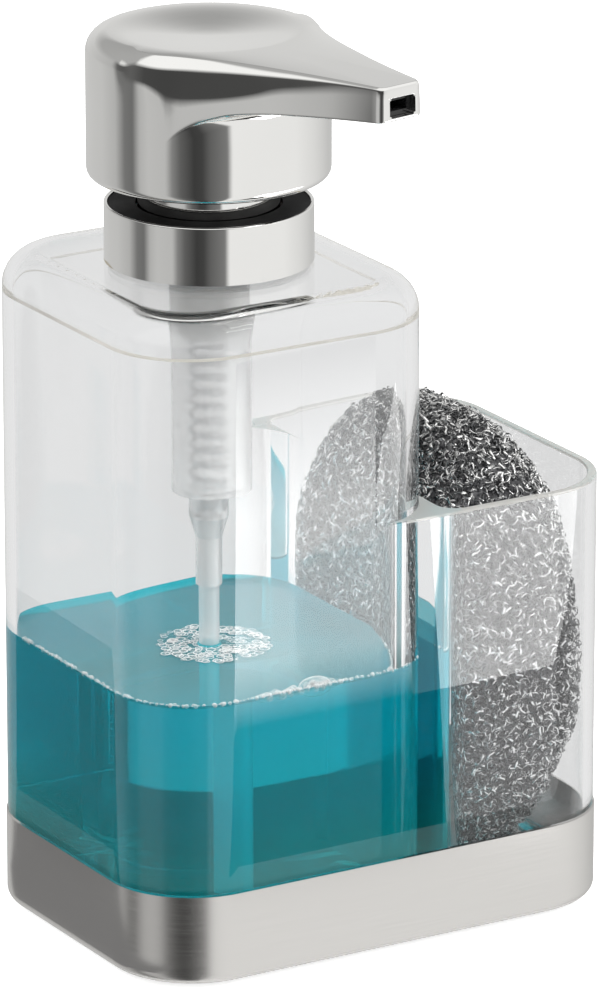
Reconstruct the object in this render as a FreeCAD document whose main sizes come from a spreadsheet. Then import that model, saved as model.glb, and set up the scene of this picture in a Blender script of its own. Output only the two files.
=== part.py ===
import FreeCAD
import Part
import Sketcher
import math
import os
import re

# Soap pump caddy: a clear bottle and scrubber tub in a steel tray, with a lift-out pump.
# Millimetres. The origin is the middle of the underside, X runs from bottle to tub,
# -Y is the front and Z is up.

SIZES = {
    # tray and pad
    "base_length": 110.4,
    "base_depth": 76.0,
    "corner_radius": 18.4,
    "pad_thickness": 0.8,
    "pad_margin": 5.0,
    "tray_height": 18.9,
    "tray_sheet": 0.8,
    "tray_bend": 2.4,
    # clear body
    "tray_fit": 0.1,
    "rim_gap": 0.15,
    "body_inset": 0.3,
    "body_floor": 2.4,
    "body_edge": 2.0,
    "tub_height": 89.1,
    "tub_wall": 2.0,
    "tub_corner": 4.0,
    "bottle_length": 67.6,
    "bottle_height": 128.8,
    "bottle_wall": 2.4,
    # shoulder lid
    "lid_rise": 8.0,
    "lid_round": 7.4,
    "lid_wall": 2.4,
    "neck_height": 8.4,
    "neck_wall": 1.9,
    # soap
    "soap_level": 58.1,
    "soap_gap": 0.05,
    "tube_clearance": 0.35,
    # pump barrel
    "cup_radius": 14.6,
    "cup_wall": 0.9,
    "cup_depth": 12.0,
    "cup_clearance": 0.4,
    "cup_floor_wall": 1.3,
    "flange_thickness": 1.2,
    "flange_margin": 0.2,
    "gasket_thickness": 1.2,
    "gasket_clearance": 0.2,
    "barrel_radius": 8.0,
    "barrel_wall": 1.1,
    "barrel_length": 46.0,
    "valve_radius": 4.35,
    "valve_length": 5.6,
    "taper_length": 4.4,
    "spigot_length": 10.0,
    "spigot_wall": 0.6,
    "seat_radius": 1.3,
    "seat_height": 1.2,
    "chamber_radius": 3.0,
    "ball_radius": 2.2,
    "ball_lift": 1.5,
    "ball_clearance": 0.1,
    "lip_radius": 2.0,
    # dip tube
    "tube_radius": 2.3,
    "tube_wall": 0.7,
    "tube_fit": 0.02,
    "tube_floor_gap": 5.0,
    # closure and collar
    "thread_clearance": 0.4,
    "closure_wall": 1.85,
    "closure_plate": 1.25,
    "turn_gap": 0.05,
    "collar_fit": 0.05,
    "collar_wall": 0.8,
    "collar_lip": 0.4,
    "collar_gap": 0.7,
    "collar_round": 0.35,
    # guide bush, stem and piston
    "guide_flange": 1.2,
    "guide_radius": 7.0,
    "guide_height": 8.6,
    "guide_clearance": 0.3,
    "plug_length": 3.6,
    "plug_fit": 0.05,
    "stem_radius": 3.5,
    "stem_bore": 1.8,
    "stem_fit": 0.06,
    "piston_gap": 0.3,
    "piston_height": 7.0,
    "piston_fit": 0.06,
    "piston_waist": 1.1,
    "piston_lip": 1.6,
    "press_fit": 0.02,
    "seat_disc_radius": 5.4,
    "seat_disc": 2.4,
    "seat_spigot": 6.0,
    # return spring
    "wire_radius": 0.45,
    "coil_radius": 3.8,
    "coil_turns": 10,
    "spring_seat_gap": 0.05,
    # head
    "stroke": 9.0,
    "head_radius": 24.3,
    "head_height": 29.5,
    "head_gap": 5.4,
    "head_wall": 2.2,
    "head_roof": 3.4,
    "head_round": 4.3,
    "crease_round": 0.6,
    "head_foot_round": 1.8,
    "dish_radius": 18.6,
    "dish_depth": 1.2,
    "spout_heading": -79.4,
    "spout_reach": 57.0,
    "spout_tip_width": 10.4,
    "spout_tip_height": 7.0,
    "spout_root_height": 8.6,
    "spout_side_radius": 145.0,
    "spout_tip_round": 1.2,
    "round_start_angle": 100.0,
    # head insert, skirt and nozzle
    "insert_fit": 0.1,
    "hub_radius": 5.4,
    "hub_reach": 9.8,
    "hub_gap": 0.2,
    "swivel_fit": 0.05,
    "web_height": 10.0,
    "web_thickness": 2.0,
    "skirt_wall": 1.0,
    "skirt_clearance": 0.4,
    "skirt_reach": 2.3,
    "outlet_width": 6.6,
    "outlet_height": 4.0,
    "outlet_drop": 4.3,
    "nozzle_fit": 0.05,
    "nozzle_wall": 0.9,
    "nozzle_recess": 1.6,
    "nozzle_grip": 1.4,
    # scrubber
    "scrubber_side_gap": 1.3,
    "scrubber_end_gap": 1.7,
    "scrubber_height": 99.0,
    "scrubber_corner_share": 0.346,
    "scrubber_lean": 3.0,
    "scrubber_gap": 0.3,
    # one overrun serves every cut
    "overrun": 2.0,
}

# Places and sizes that follow from the driving sizes, as sums of cell names
DERIVED = {
    "half_length": "base_length / 2",
    "half_depth": "base_depth / 2",
    "tray_top": "pad_thickness + tray_height",
    "body_bottom": "pad_thickness + tray_sheet",
    "body_shelf": "tray_top + rim_gap",
    "foot_inset": "tray_sheet + tray_fit",
    "floor_top": "body_bottom + body_floor",
    "tub_rim": "body_bottom + tub_height",
    "seam": "body_bottom + bottle_height",
    "outer_radius": "corner_radius - body_inset",
    "outer_depth": "half_depth - body_inset",
    "bottle_left": "body_inset - half_length",
    "bottle_right": "bottle_left + bottle_length",
    "tub_right": "half_length - body_inset - tub_wall",
    "pump_x": "bottle_left + bottle_length / 2",
    "soap_inset": "bottle_wall + soap_gap",
    "lid_top": "seam + lid_rise",
    "neck_top": "lid_top + neck_height",
    "cup_outer_radius": "cup_radius + cup_wall",
    "neck_bore": "cup_outer_radius + cup_clearance",
    "neck_radius": "neck_bore + neck_wall",
    "flange_radius": "neck_radius - flange_margin",
    "flange_bottom": "neck_top + gasket_thickness",
    "flange_top": "flange_bottom + flange_thickness",
    "cup_floor": "flange_top - cup_depth",
    "cup_underside": "cup_floor - cup_floor_wall",
    "barrel_bore": "barrel_radius - barrel_wall",
    "barrel_bottom": "cup_floor - barrel_length",
    "spring_ledge": "barrel_bottom + barrel_wall",
    "taper_top": "barrel_bottom - valve_length",
    "taper_bottom": "taper_top - taper_length",
    "spigot_bottom": "taper_bottom - spigot_length",
    "tube_socket": "tube_radius + tube_fit",
    "spigot_radius": "tube_socket + spigot_wall",
    "ball_seat": "taper_top + seat_height",
    "ball_rise": "sqrt(ball_radius ^ 2 - seat_radius ^ 2)",
    "lip_rise": "sqrt(ball_radius ^ 2 - lip_radius ^ 2)",
    "ball_centre": "ball_seat + ball_rise",
    "lip_bottom": "ball_centre + ball_lift + lip_rise + ball_clearance",
    "tube_bottom": "floor_top + tube_floor_gap",
    "tube_top": "taper_top",
    "closure_bore": "neck_radius + thread_clearance",
    "closure_radius": "closure_bore + closure_wall",
    "collar_bore": "closure_radius + collar_fit",
    "collar_radius": "collar_bore + collar_wall",
    "collar_bottom": "lid_top + collar_gap",
    "closure_seat": "flange_top + turn_gap",
    "closure_top": "closure_seat + closure_plate",
    "collar_top": "closure_top + collar_lip",
    "guide_bore": "stem_radius + stem_fit",
    "guide_flange_radius": "cup_radius - guide_clearance",
    "guide_flange_top": "cup_floor + guide_flange",
    "guide_top": "cup_floor + guide_height",
    "plug_radius": "barrel_bore - plug_fit",
    "plug_bottom": "cup_floor - plug_length",
    "piston_top": "plug_bottom - piston_gap",
    "piston_bottom": "piston_top - piston_height",
    "piston_bore": "stem_radius + press_fit",
    "piston_radius": "barrel_bore - piston_fit",
    "piston_waist_radius": "piston_radius - piston_waist",
    "seat_disc_bottom": "piston_bottom - seat_disc",
    "seat_spigot_radius": "stem_bore - press_fit",
    "head_bottom": "collar_top + head_gap",
    "head_top": "head_bottom + head_height",
    "head_bore": "head_radius - head_wall",
    "head_ceiling": "head_top - head_roof",
    "dish_sphere": "(dish_radius ^ 2 + dish_depth ^ 2) / (2 * dish_depth)",
    "wing_bottom": "head_top - spout_root_height",
    "outlet_bottom": "head_top - outlet_drop - outlet_height / 2",
    "hub_bottom": "guide_top + stroke + overrun",
    "web_bottom": "hub_bottom + web_height",
    "web_top": "web_bottom + web_thickness",
    "stem_top": "hub_bottom + hub_reach",
    "socket_top": "stem_top + hub_gap",
    "socket_radius": "stem_radius + swivel_fit",
    "skirt_radius": "cup_radius - skirt_clearance",
    "skirt_bottom": "collar_top - skirt_reach",
    "nozzle_half_width": "outlet_width / 2 - nozzle_fit",
    "nozzle_bottom": "outlet_bottom + nozzle_fit",
    "nozzle_top": "outlet_bottom + outlet_height - nozzle_fit",
    "nozzle_start": "hub_radius - nozzle_grip",
    "scrubber_x": "(bottle_right + tub_right) / 2",
    "scrubber_width": "tub_right - bottle_right - 2 * scrubber_side_gap",
    "scrubber_depth": "2 * (outer_depth - tub_wall - scrubber_end_gap)",
    "scrubber_corner": "scrubber_corner_share * scrubber_width",
    "scrubber_bottom": "floor_top + scrubber_gap",
}

# The scrubber's sections from its foot to its crown: height, size and lean as shares
SCRUBBER_HEIGHT_SHARES = (0, 0.05, 0.16, 0.34, 0.55, 0.74, 0.88, 0.965, 1)
SCRUBBER_SIZE_SHARES = (0.34, 0.6, 0.84, 0.98, 1, 0.93, 0.75, 0.5, 0.26)
SCRUBBER_LEAN_SHARES = (0, 0, 0, 0, 0.1, 0.35, 0.65, 0.9, 1)

# How close two numbers are when they count as the same place
SAME = 1e-4
Z_AXIS = FreeCAD.Vector(0, 0, 1)

doc = FreeCAD.newDocument("SoapPumpCaddy")
sheet = doc.addObject("Spreadsheet::Sheet", "Sizes")
for row, (name, size) in enumerate(SIZES.items(), start=1):
    sheet.set(f"A{row}", name)
    sheet.set(f"B{row}", str(size))
    sheet.setAlias(f"B{row}", name)
doc.recompute()


def cells(text):
    """The text with each name replaced by its spreadsheet cell or its sum of cells."""
    def cell(match):
        word = match.group()
        if word in DERIVED:
            return "(" + cells(DERIVED[word]) + ")"
        return "Sizes." + word if word in SIZES else word
    return re.sub(r"[a-z_]+", cell, text)


def value(text):
    """The number that a sum of names comes to."""
    return float(sheet.evalExpression(cells(text)))


# Bodies, sketches and features


def new_body(label):
    body = doc.addObject("PartDesign::Body", label)
    body.Label = label
    return body


def pump_body(label):
    """A body on the pump's axis."""
    body = new_body(label)
    body.setExpression("Placement.Base.x", cells("pump_x"))
    return body


def head_body(label):
    """A body on the pump's axis, turned so that its own X runs along the spout."""
    body = new_body(label)
    turn = FreeCAD.Rotation(Z_AXIS, value("spout_heading"))
    body.Placement = FreeCAD.Placement(FreeCAD.Vector(0, 0, 0), turn)
    body.setExpression("Placement.Base.x", cells("pump_x"))
    return body


def sketch_on(body, name, role="XY_Plane", level=None):
    sketch = body.newObject("Sketcher::SketchObject", name)
    plane = next(part for part in body.Origin.OriginFeatures if part.Role == role)
    sketch.AttachmentSupport = [(plane, "")]
    sketch.MapMode = "FlatFace"
    if level:
        sketch.setExpression("AttachmentOffset.Base.z", cells(level))
    return sketch


def fix(sketch, kind, *where, to):
    """Adds a driving constraint bound to the sheet."""
    index = sketch.addConstraint(Sketcher.Constraint(kind, *where, value(to)))
    sketch.setExpression(f"Constraints[{index}]", cells(to))


def line(sketch, start, end):
    return sketch.addGeometry(Part.LineSegment(FreeCAD.Vector(*start), FreeCAD.Vector(*end)), False)


def arc(sketch, centre, radius, start, end):
    circle = Part.Circle(FreeCAD.Vector(*centre), Z_AXIS, radius)
    return sketch.addGeometry(Part.ArcOfCircle(circle, start, end), False)


def rounded_rectangle(sketch, left, right, depth, left_radius, right_radius):
    """A rectangle with round corners, even about the X axis, depth being half of it."""
    x0, x1, y, r0, r1 = (value(text) for text in (left, right, depth, left_radius, right_radius))
    quarter = math.pi / 2
    line(sketch, (x0 + r0, -y, 0), (x1 - r1, -y, 0))
    arc(sketch, (x1 - r1, r1 - y, 0), r1, -quarter, 0)
    line(sketch, (x1, r1 - y, 0), (x1, y - r1, 0))
    arc(sketch, (x1 - r1, y - r1, 0), r1, 0, quarter)
    line(sketch, (x1 - r1, y, 0), (x0 + r0, y, 0))
    arc(sketch, (x0 + r0, y - r0, 0), r0, quarter, 2 * quarter)
    line(sketch, (x0, y - r0, 0), (x0, r0 - y, 0))
    arc(sketch, (x0 + r0, r0 - y, 0), r0, 2 * quarter, 3 * quarter)
    for edge in range(8):
        sketch.addConstraint(Sketcher.Constraint("Tangent", edge, 2, (edge + 1) % 8, 1))
    for side in (0, 4):
        sketch.addConstraint(Sketcher.Constraint("Horizontal", side))
    for side in (2, 6):
        sketch.addConstraint(Sketcher.Constraint("Vertical", side))
    sketch.addConstraint(Sketcher.Constraint("Equal", 1, 3))
    sketch.addConstraint(Sketcher.Constraint("Equal", 5, 7))
    fix(sketch, "Radius", 1, to=right_radius)
    fix(sketch, "Radius", 5, to=left_radius)
    fix(sketch, "DistanceX", -1, 1, 2, 1, to=right)
    fix(sketch, "DistanceX", -1, 1, 6, 1, to=left)
    fix(sketch, "DistanceY", -1, 1, 4, 1, to=depth)
    fix(sketch, "DistanceY", -1, 1, 0, 1, to=f"-({depth})")


def inset_outline(sketch, inset):
    """The caddy's whole outline, drawn in by an inset."""
    radius = f"corner_radius - {inset}"
    rounded_rectangle(
        sketch, f"{inset} - half_length", f"half_length - {inset}", f"half_depth - {inset}", radius, radius
    )


def bottle_outline(sketch, inset):
    """The bottle's outline, drawn in by an inset."""
    radius = f"outer_radius - {inset}"
    rounded_rectangle(
        sketch, f"bottle_left + {inset}", f"bottle_right - {inset}", f"outer_depth - {inset}", radius, radius
    )


def polygon(sketch, corners):
    """A closed outline of straight lines, each corner a pair of sums of names."""
    spots = [(value(across), value(up), 0) for across, up in corners]
    for index, spot in enumerate(spots):
        line(sketch, spot, spots[(index + 1) % len(spots)])
    for index, (across, up) in enumerate(corners):
        sketch.addConstraint(Sketcher.Constraint("Coincident", index, 2, (index + 1) % len(corners), 1))
        if across == "0":
            sketch.addConstraint(Sketcher.Constraint("PointOnObject", index, 1, -2))
        else:
            fix(sketch, "DistanceX", -1, 1, index, 1, to=across)
        fix(sketch, "DistanceY", -1, 1, index, 1, to=up)


def upright_rectangle(sketch, half_width, low, high):
    """A rectangle even about the sketch's vertical axis."""
    left = f"-{half_width}"
    polygon(sketch, [(left, low), (half_width, low), (half_width, high), (left, high)])


def ring(sketch, radius, across="0"):
    """A circle on the sketch's X axis."""
    start = len(sketch.Geometry)
    sketch.addGeometry(Part.Circle(FreeCAD.Vector(value(across), 0, 0), Z_AXIS, value(radius)), False)
    if across == "0":
        sketch.addConstraint(Sketcher.Constraint("Coincident", start, 3, -1, 1))
    else:
        sketch.addConstraint(Sketcher.Constraint("PointOnObject", start, 3, -1))
        fix(sketch, "DistanceX", -1, 1, start, 3, to=across)
    fix(sketch, "Radius", start, to=radius)


def pad(body, sketch, length):
    feature = body.newObject("PartDesign::Pad", sketch.Name + "_pad")
    feature.Profile = sketch
    feature.setExpression("Length", cells(length))
    doc.recompute()
    return feature


def pocket(body, sketch, depth, reverse=False, both_ways=False):
    """Cuts away from the sketch and checks that the cut took something off."""
    before = body.Shape.Volume
    feature = body.newObject("PartDesign::Pocket", sketch.Name + "_pocket")
    feature.Profile = sketch
    feature.setExpression("Length", cells(depth))
    feature.Reversed = reverse
    if both_ways:
        feature.Midplane = True
    doc.recompute()
    if body.Shape.Volume > before - SAME:
        raise ValueError(f"{feature.Name} cuts nothing")
    return feature


def revolution(body, sketch):
    feature = body.newObject("PartDesign::Revolution", sketch.Name + "_turned")
    feature.Profile = sketch
    feature.ReferenceAxis = (sketch, ["V_Axis"])
    feature.Angle = 360
    doc.recompute()
    return feature


def turned(label, corners):
    """A piece turned about the pump's axis from corners given as radius and height."""
    body = pump_body(label)
    sketch = sketch_on(body, label + "_profile", "XZ_Plane")
    polygon(sketch, corners)
    revolution(body, sketch)
    return body


def edges_where(shape, test):
    return [index for index, edge in enumerate(shape.Edges, start=1) if test(edge)]


def lies_at(edge, level):
    box = edge.BoundBox
    return abs(box.ZMin - value(level)) < SAME and abs(box.ZMax - value(level)) < SAME


def fillet(body, radius, test):
    base = body.Tip
    feature = body.newObject("PartDesign::Fillet", body.Name + "_round")
    feature.Base = (base, [f"Edge{index}" for index in edges_where(base.Shape, test)])
    feature.setExpression("Radius", cells(radius))
    doc.recompute()
    return feature


def radius_of(edge):
    """A round edge's radius, and 0 for any other edge."""
    if edge.Degenerated:
        return 0
    return edge.Curve.Radius if isinstance(edge.Curve, Part.Circle) else 0


# Tray, body, lid and soap


def make_anti_slip_pad():
    body = new_body("anti_slip_pad")
    outline = sketch_on(body, "pad_outline")
    inset_outline(outline, "pad_margin")
    pad(body, outline, "pad_thickness")
    return body


def make_base_tray():
    body = new_body("base_tray")
    outline = sketch_on(body, "tray_outline", level="pad_thickness")
    inset_outline(outline, "0")
    pad(body, outline, "tray_height")
    fillet(body, "tray_bend", lambda edge: lies_at(edge, "pad_thickness"))
    hollow = sketch_on(body, "tray_hollow", level="tray_top")
    inset_outline(hollow, "tray_sheet")
    pocket(body, hollow, "tray_height - tray_sheet")
    fillet(body, "tray_bend - tray_sheet", lambda edge: lies_at(edge, "body_bottom"))
    return body


def make_clear_body():
    body = new_body("clear_body")
    foot = sketch_on(body, "foot_outline", level="body_bottom")
    inset_outline(foot, "foot_inset")
    pad(body, foot, "body_shelf - body_bottom")
    fillet(body, "body_edge", lambda edge: lies_at(edge, "body_bottom"))
    walls = sketch_on(body, "walls_outline", level="body_shelf")
    inset_outline(walls, "body_inset")
    pad(body, walls, "tub_rim - body_shelf")
    bottle = sketch_on(body, "bottle_walls", level="tub_rim")
    bottle_outline(bottle, "0")
    pad(body, bottle, "seam - tub_rim")
    tub = sketch_on(body, "tub_hollow", level="tub_rim")
    rounded_rectangle(
        tub, "bottle_right", "tub_right", "outer_depth - tub_wall", "tub_corner", "outer_radius - tub_wall"
    )
    pocket(body, tub, "tub_rim - floor_top")
    hollow = sketch_on(body, "bottle_hollow", level="seam")
    bottle_outline(hollow, "bottle_wall")
    pocket(body, hollow, "seam - floor_top")
    return body


def make_shoulder_lid():
    body = new_body("shoulder_lid")
    outline = sketch_on(body, "lid_outline", level="seam")
    bottle_outline(outline, "0")
    pad(body, outline, "lid_rise")
    fillet(body, "lid_round", lambda edge: lies_at(edge, "lid_top"))
    hollow = sketch_on(body, "lid_hollow", level="seam")
    bottle_outline(hollow, "bottle_wall")
    pocket(body, hollow, "lid_rise - lid_wall", reverse=True)
    fillet(body, "lid_round - lid_wall", lambda edge: lies_at(edge, "lid_top - lid_wall"))
    neck = sketch_on(body, "neck_outline", level="lid_top - lid_wall")
    ring(neck, "neck_radius", "pump_x")
    pad(body, neck, "lid_wall + neck_height")
    bore = sketch_on(body, "neck_hole", level="neck_top")
    ring(bore, "neck_bore", "pump_x")
    pocket(body, bore, "neck_height + lid_rise")
    return body


def make_soap_fill():
    body = new_body("soap_fill")
    outline = sketch_on(body, "soap_outline", level="floor_top")
    bottle_outline(outline, "soap_inset")
    pad(body, outline, "soap_level - floor_top")
    hole = sketch_on(body, "soap_hole", level="soap_level")
    ring(hole, "tube_radius + tube_clearance", "pump_x")
    pocket(body, hole, "soap_level - tube_bottom + tube_clearance")
    return body


# Pump unit


def make_pump_barrel():
    return turned("pump_barrel", [
        ("cup_radius", "flange_top"),
        ("flange_radius", "flange_top"),
        ("flange_radius", "flange_bottom"),
        ("cup_outer_radius", "flange_bottom"),
        ("cup_outer_radius", "cup_underside"),
        ("barrel_radius", "cup_underside"),
        ("barrel_radius", "barrel_bottom"),
        ("valve_radius", "barrel_bottom"),
        ("valve_radius", "taper_top"),
        ("spigot_radius", "taper_bottom"),
        ("spigot_radius", "spigot_bottom"),
        ("tube_socket", "spigot_bottom"),
        ("tube_socket", "taper_top"),
        ("seat_radius", "taper_top"),
        ("seat_radius", "ball_seat"),
        ("chamber_radius", "ball_seat"),
        ("chamber_radius", "lip_bottom"),
        ("lip_radius", "lip_bottom"),
        ("lip_radius", "spring_ledge"),
        ("barrel_bore", "spring_ledge"),
        ("barrel_bore", "cup_floor"),
        ("cup_radius", "cup_floor"),
    ])


def make_neck_gasket():
    return turned("neck_gasket", [
        ("cup_outer_radius + gasket_clearance", "neck_top"),
        ("flange_radius", "neck_top"),
        ("flange_radius", "flange_bottom"),
        ("cup_outer_radius + gasket_clearance", "flange_bottom"),
    ])


def make_guide_bush():
    return turned("guide_bush", [
        ("guide_bore", "plug_bottom"),
        ("plug_radius", "plug_bottom"),
        ("plug_radius", "cup_floor"),
        ("guide_flange_radius", "cup_floor"),
        ("guide_flange_radius", "guide_flange_top"),
        ("guide_radius", "guide_flange_top"),
        ("guide_radius", "guide_top"),
        ("guide_bore", "guide_top"),
    ])


def make_dip_tube():
    return turned("dip_tube", [
        ("tube_radius - tube_wall", "tube_bottom"),
        ("tube_radius", "tube_bottom"),
        ("tube_radius", "tube_top"),
        ("tube_radius - tube_wall", "tube_top"),
    ])


def make_inlet_ball():
    ball = doc.addObject("Part::Sphere", "inlet_ball")
    ball.setExpression("Radius", cells("ball_radius"))
    ball.setExpression("Placement.Base.x", cells("pump_x"))
    ball.setExpression("Placement.Base.z", cells("ball_centre"))
    return ball


def make_screw_closure():
    return turned("screw_closure", [
        ("closure_bore", "collar_bottom"),
        ("closure_radius", "collar_bottom"),
        ("closure_radius", "closure_top"),
        ("cup_radius", "closure_top"),
        ("cup_radius", "closure_seat"),
        ("closure_bore", "closure_seat"),
    ])


def make_collar_shell():
    body = turned("collar_shell", [
        ("collar_bore", "collar_bottom"),
        ("collar_radius", "collar_bottom"),
        ("collar_radius", "collar_top"),
        ("collar_bore", "collar_top"),
    ])
    fillet(body, "collar_round", lambda edge: radius_of(edge) and lies_at(edge, "collar_top"))
    return body


def make_stem():
    return turned("stem", [
        ("stem_bore", "piston_bottom"),
        ("stem_radius", "piston_bottom"),
        ("stem_radius", "stem_top"),
        ("stem_bore", "stem_top"),
    ])


def make_piston():
    return turned("piston", [
        ("piston_bore", "piston_bottom"),
        ("piston_waist_radius", "piston_bottom + piston_waist"),
        ("piston_radius", "piston_bottom"),
        ("piston_radius", "piston_bottom + piston_lip"),
        ("piston_waist_radius", "piston_bottom + piston_lip + piston_waist"),
        ("piston_waist_radius", "piston_top - piston_lip - piston_waist"),
        ("piston_radius", "piston_top - piston_lip"),
        ("piston_radius", "piston_top"),
        ("piston_waist_radius", "piston_top - piston_waist"),
        ("piston_bore", "piston_top"),
    ])


def make_piston_seat():
    return turned("piston_seat", [
        ("0", "seat_disc_bottom"),
        ("seat_disc_radius", "seat_disc_bottom"),
        ("seat_disc_radius", "piston_bottom"),
        ("seat_spigot_radius", "piston_bottom"),
        ("seat_spigot_radius", "piston_bottom + seat_spigot"),
        ("0", "piston_bottom + seat_spigot"),
    ])


# Return spring


def helix_spot(angle, radius, start, rise_per_turn):
    """A point on the helix and the direction in which it runs there."""
    across, along = radius * math.cos(angle), radius * math.sin(angle)
    spot = FreeCAD.Vector(across, along, start + rise_per_turn * angle / math.tau)
    course = FreeCAD.Vector(-along, across, rise_per_turn / math.tau)
    return spot, course.normalize()


def arc_towards(start, corner, end):
    """The arc from start to end whose end tangents meet at the corner."""
    middle = (start + end) * 0.5
    half_chord = (end - start).Length / 2
    height = (corner - middle).Length
    bulge = half_chord * math.tan(math.atan2(height, half_chord) / 2)
    return Part.Arc(start, middle + (corner - middle) * (bulge / height), end).toShape()


def biarc(start, course, end, last_course):
    """Two arcs that join start to end and keep both directions."""
    chord = end - start
    both = course + last_course
    spread = 2 * (1 - course.dot(last_course))
    across = chord.dot(both)
    reach = (math.sqrt(across ** 2 + spread * chord.dot(chord)) - across) / spread
    first = start + course * reach
    second = end - last_course * reach
    join = (first + second) * 0.5
    return [arc_towards(start, first, join), arc_towards(join, second, end)]


def make_return_spring():
    wire, radius = value("wire_radius"), value("coil_radius")
    start = value("spring_ledge + wire_radius + spring_seat_gap")
    end = value("seat_disc_bottom - wire_radius - spring_seat_gap")
    turns = round(value("coil_turns"))
    rise = (end - start) / turns
    quarters = [helix_spot(step * math.pi / 2, radius, start, rise) for step in range(4 * turns + 1)]
    arcs = []
    for (spot, course), (next_spot, next_course) in zip(quarters, quarters[1:]):
        arcs += biarc(spot, course, next_spot, next_course)
    path = Part.Wire(arcs)
    section = Part.Wire(Part.Circle(quarters[0][0], quarters[0][1], wire).toShape())
    tube = Part.BRepOffsetAPI.MakePipeShell(path)
    tube.add(section)
    tube.build()
    tube.makeSolid()
    spring = doc.addObject("Part::Feature", "return_spring")
    spring.Shape = tube.shape()
    spring.Placement.Base = FreeCAD.Vector(value("pump_x"), 0, 0)
    print("return_spring least gap to itself", round(self_gap(path, turns, wire), 3))
    return spring


def self_gap(path, turns, wire):
    """The least clear distance between turns, measured on points along the wire's middle."""
    per_turn = 24
    spots = path.discretize(turns * per_turn + 1)
    far = [
        (spots[later] - spots[first]).Length
        for first in range(len(spots))
        for later in range(first + per_turn // 2, len(spots))
    ]
    return min(far) - 2 * wire


# Pump head


def teardrop(sketch):
    """The head's plan: a circle at the back, hollow sides and a straight tip across the spout."""
    head, side = value("head_radius"), value("spout_side_radius")
    tip_x, tip_y = value("spout_reach"), value("spout_tip_width / 2")
    # the side's centre lies one side radius from the tip corner and head plus side from the axis
    tip_far, tip_turn = math.hypot(tip_x, tip_y), math.atan2(tip_y, tip_x)
    centre_far = head + side
    swing = math.acos((tip_far ** 2 + centre_far ** 2 - side ** 2) / (2 * tip_far * centre_far))
    touch = tip_turn + swing
    centre_x, centre_y = centre_far * math.cos(touch), centre_far * math.sin(touch)
    back = math.radians(value("round_start_angle"))
    to_tip = math.atan2(tip_y - centre_y, tip_x - centre_x)
    arc(sketch, (0, 0, 0), head, touch, back)
    arc(sketch, (0, 0, 0), head, back, math.tau - back)
    arc(sketch, (0, 0, 0), head, math.tau - back, math.tau - touch)
    arc(sketch, (centre_x, -centre_y, 0), side, -to_tip, math.pi - touch)
    line(sketch, (tip_x, -tip_y, 0), (tip_x, tip_y, 0))
    arc(sketch, (centre_x, centre_y, 0), side, math.pi + touch, math.tau + to_tip)
    for part in (0, 1, 2):
        sketch.addConstraint(Sketcher.Constraint("Coincident", part, 3, -1, 1))
    for first, second in ((0, 1), (1, 2)):
        sketch.addConstraint(Sketcher.Constraint("Coincident", first, 2, second, 1))
    sketch.addConstraint(Sketcher.Constraint("Tangent", 2, 2, 3, 2))
    sketch.addConstraint(Sketcher.Constraint("Coincident", 3, 1, 4, 1))
    sketch.addConstraint(Sketcher.Constraint("Coincident", 4, 2, 5, 2))
    sketch.addConstraint(Sketcher.Constraint("Tangent", 5, 1, 0, 1))
    sketch.addConstraint(Sketcher.Constraint("Vertical", 4))
    fix(sketch, "Radius", 0, to="head_radius")
    fix(sketch, "Radius", 3, to="spout_side_radius")
    fix(sketch, "Radius", 5, to="spout_side_radius")
    for part in (0, 1):
        fix(sketch, "DistanceX", -1, 1, part, 2, to="head_radius * cos(round_start_angle * 1deg)")
    fix(sketch, "DistanceX", -1, 1, 4, 1, to="spout_reach")
    fix(sketch, "DistanceY", -1, 1, 4, 2, to="spout_tip_width / 2")
    fix(sketch, "DistanceY", -1, 1, 4, 1, to="-spout_tip_width / 2")


def make_head_form():
    """The head before its outer edges are rounded."""
    body = head_body("head_form")
    plan = sketch_on(body, "wing_plan", level="wing_bottom")
    teardrop(plan)
    pad(body, plan, "spout_root_height")
    underside = sketch_on(body, "wing_underside", "XZ_Plane")
    polygon(underside, [
        ("head_radius", "wing_bottom"),
        ("head_radius", "wing_bottom - overrun"),
        ("spout_reach", "wing_bottom - overrun"),
        ("spout_reach", "head_top - spout_tip_height"),
    ])
    pocket(body, underside, "4 * head_radius", both_ways=True)
    tip = value("spout_reach")
    fillet(
        body,
        "spout_tip_round",
        lambda edge: abs(edge.BoundBox.XMin - tip) < SAME and edge.BoundBox.ZLength > edge.BoundBox.YLength,
    )
    cylinder = sketch_on(body, "head_outline", level="head_bottom")
    ring(cylinder, "head_radius")
    pad(body, cylinder, "head_height - spout_root_height / 2")
    bore = sketch_on(body, "head_hollow", level="head_bottom")
    ring(bore, "head_bore")
    pocket(body, bore, "head_height - head_roof", reverse=True)
    outlet = sketch_on(body, "outlet_section", "YZ_Plane")
    upright_rectangle(outlet, "outlet_width / 2", "outlet_bottom", "outlet_bottom + outlet_height")
    pocket(body, outlet, "spout_reach + overrun", reverse=True)
    dish = body.newObject("PartDesign::SubtractiveSphere", "thumb_dish")
    plane = next(part for part in body.Origin.OriginFeatures if part.Role == "XY_Plane")
    dish.AttachmentSupport = [(plane, "")]
    dish.MapMode = "FlatFace"
    dish.setExpression("Radius", cells("dish_sphere"))
    dish.setExpression("AttachmentOffset.Base.z", cells("head_top - dish_depth + dish_sphere"))
    doc.recompute()
    return body


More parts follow.
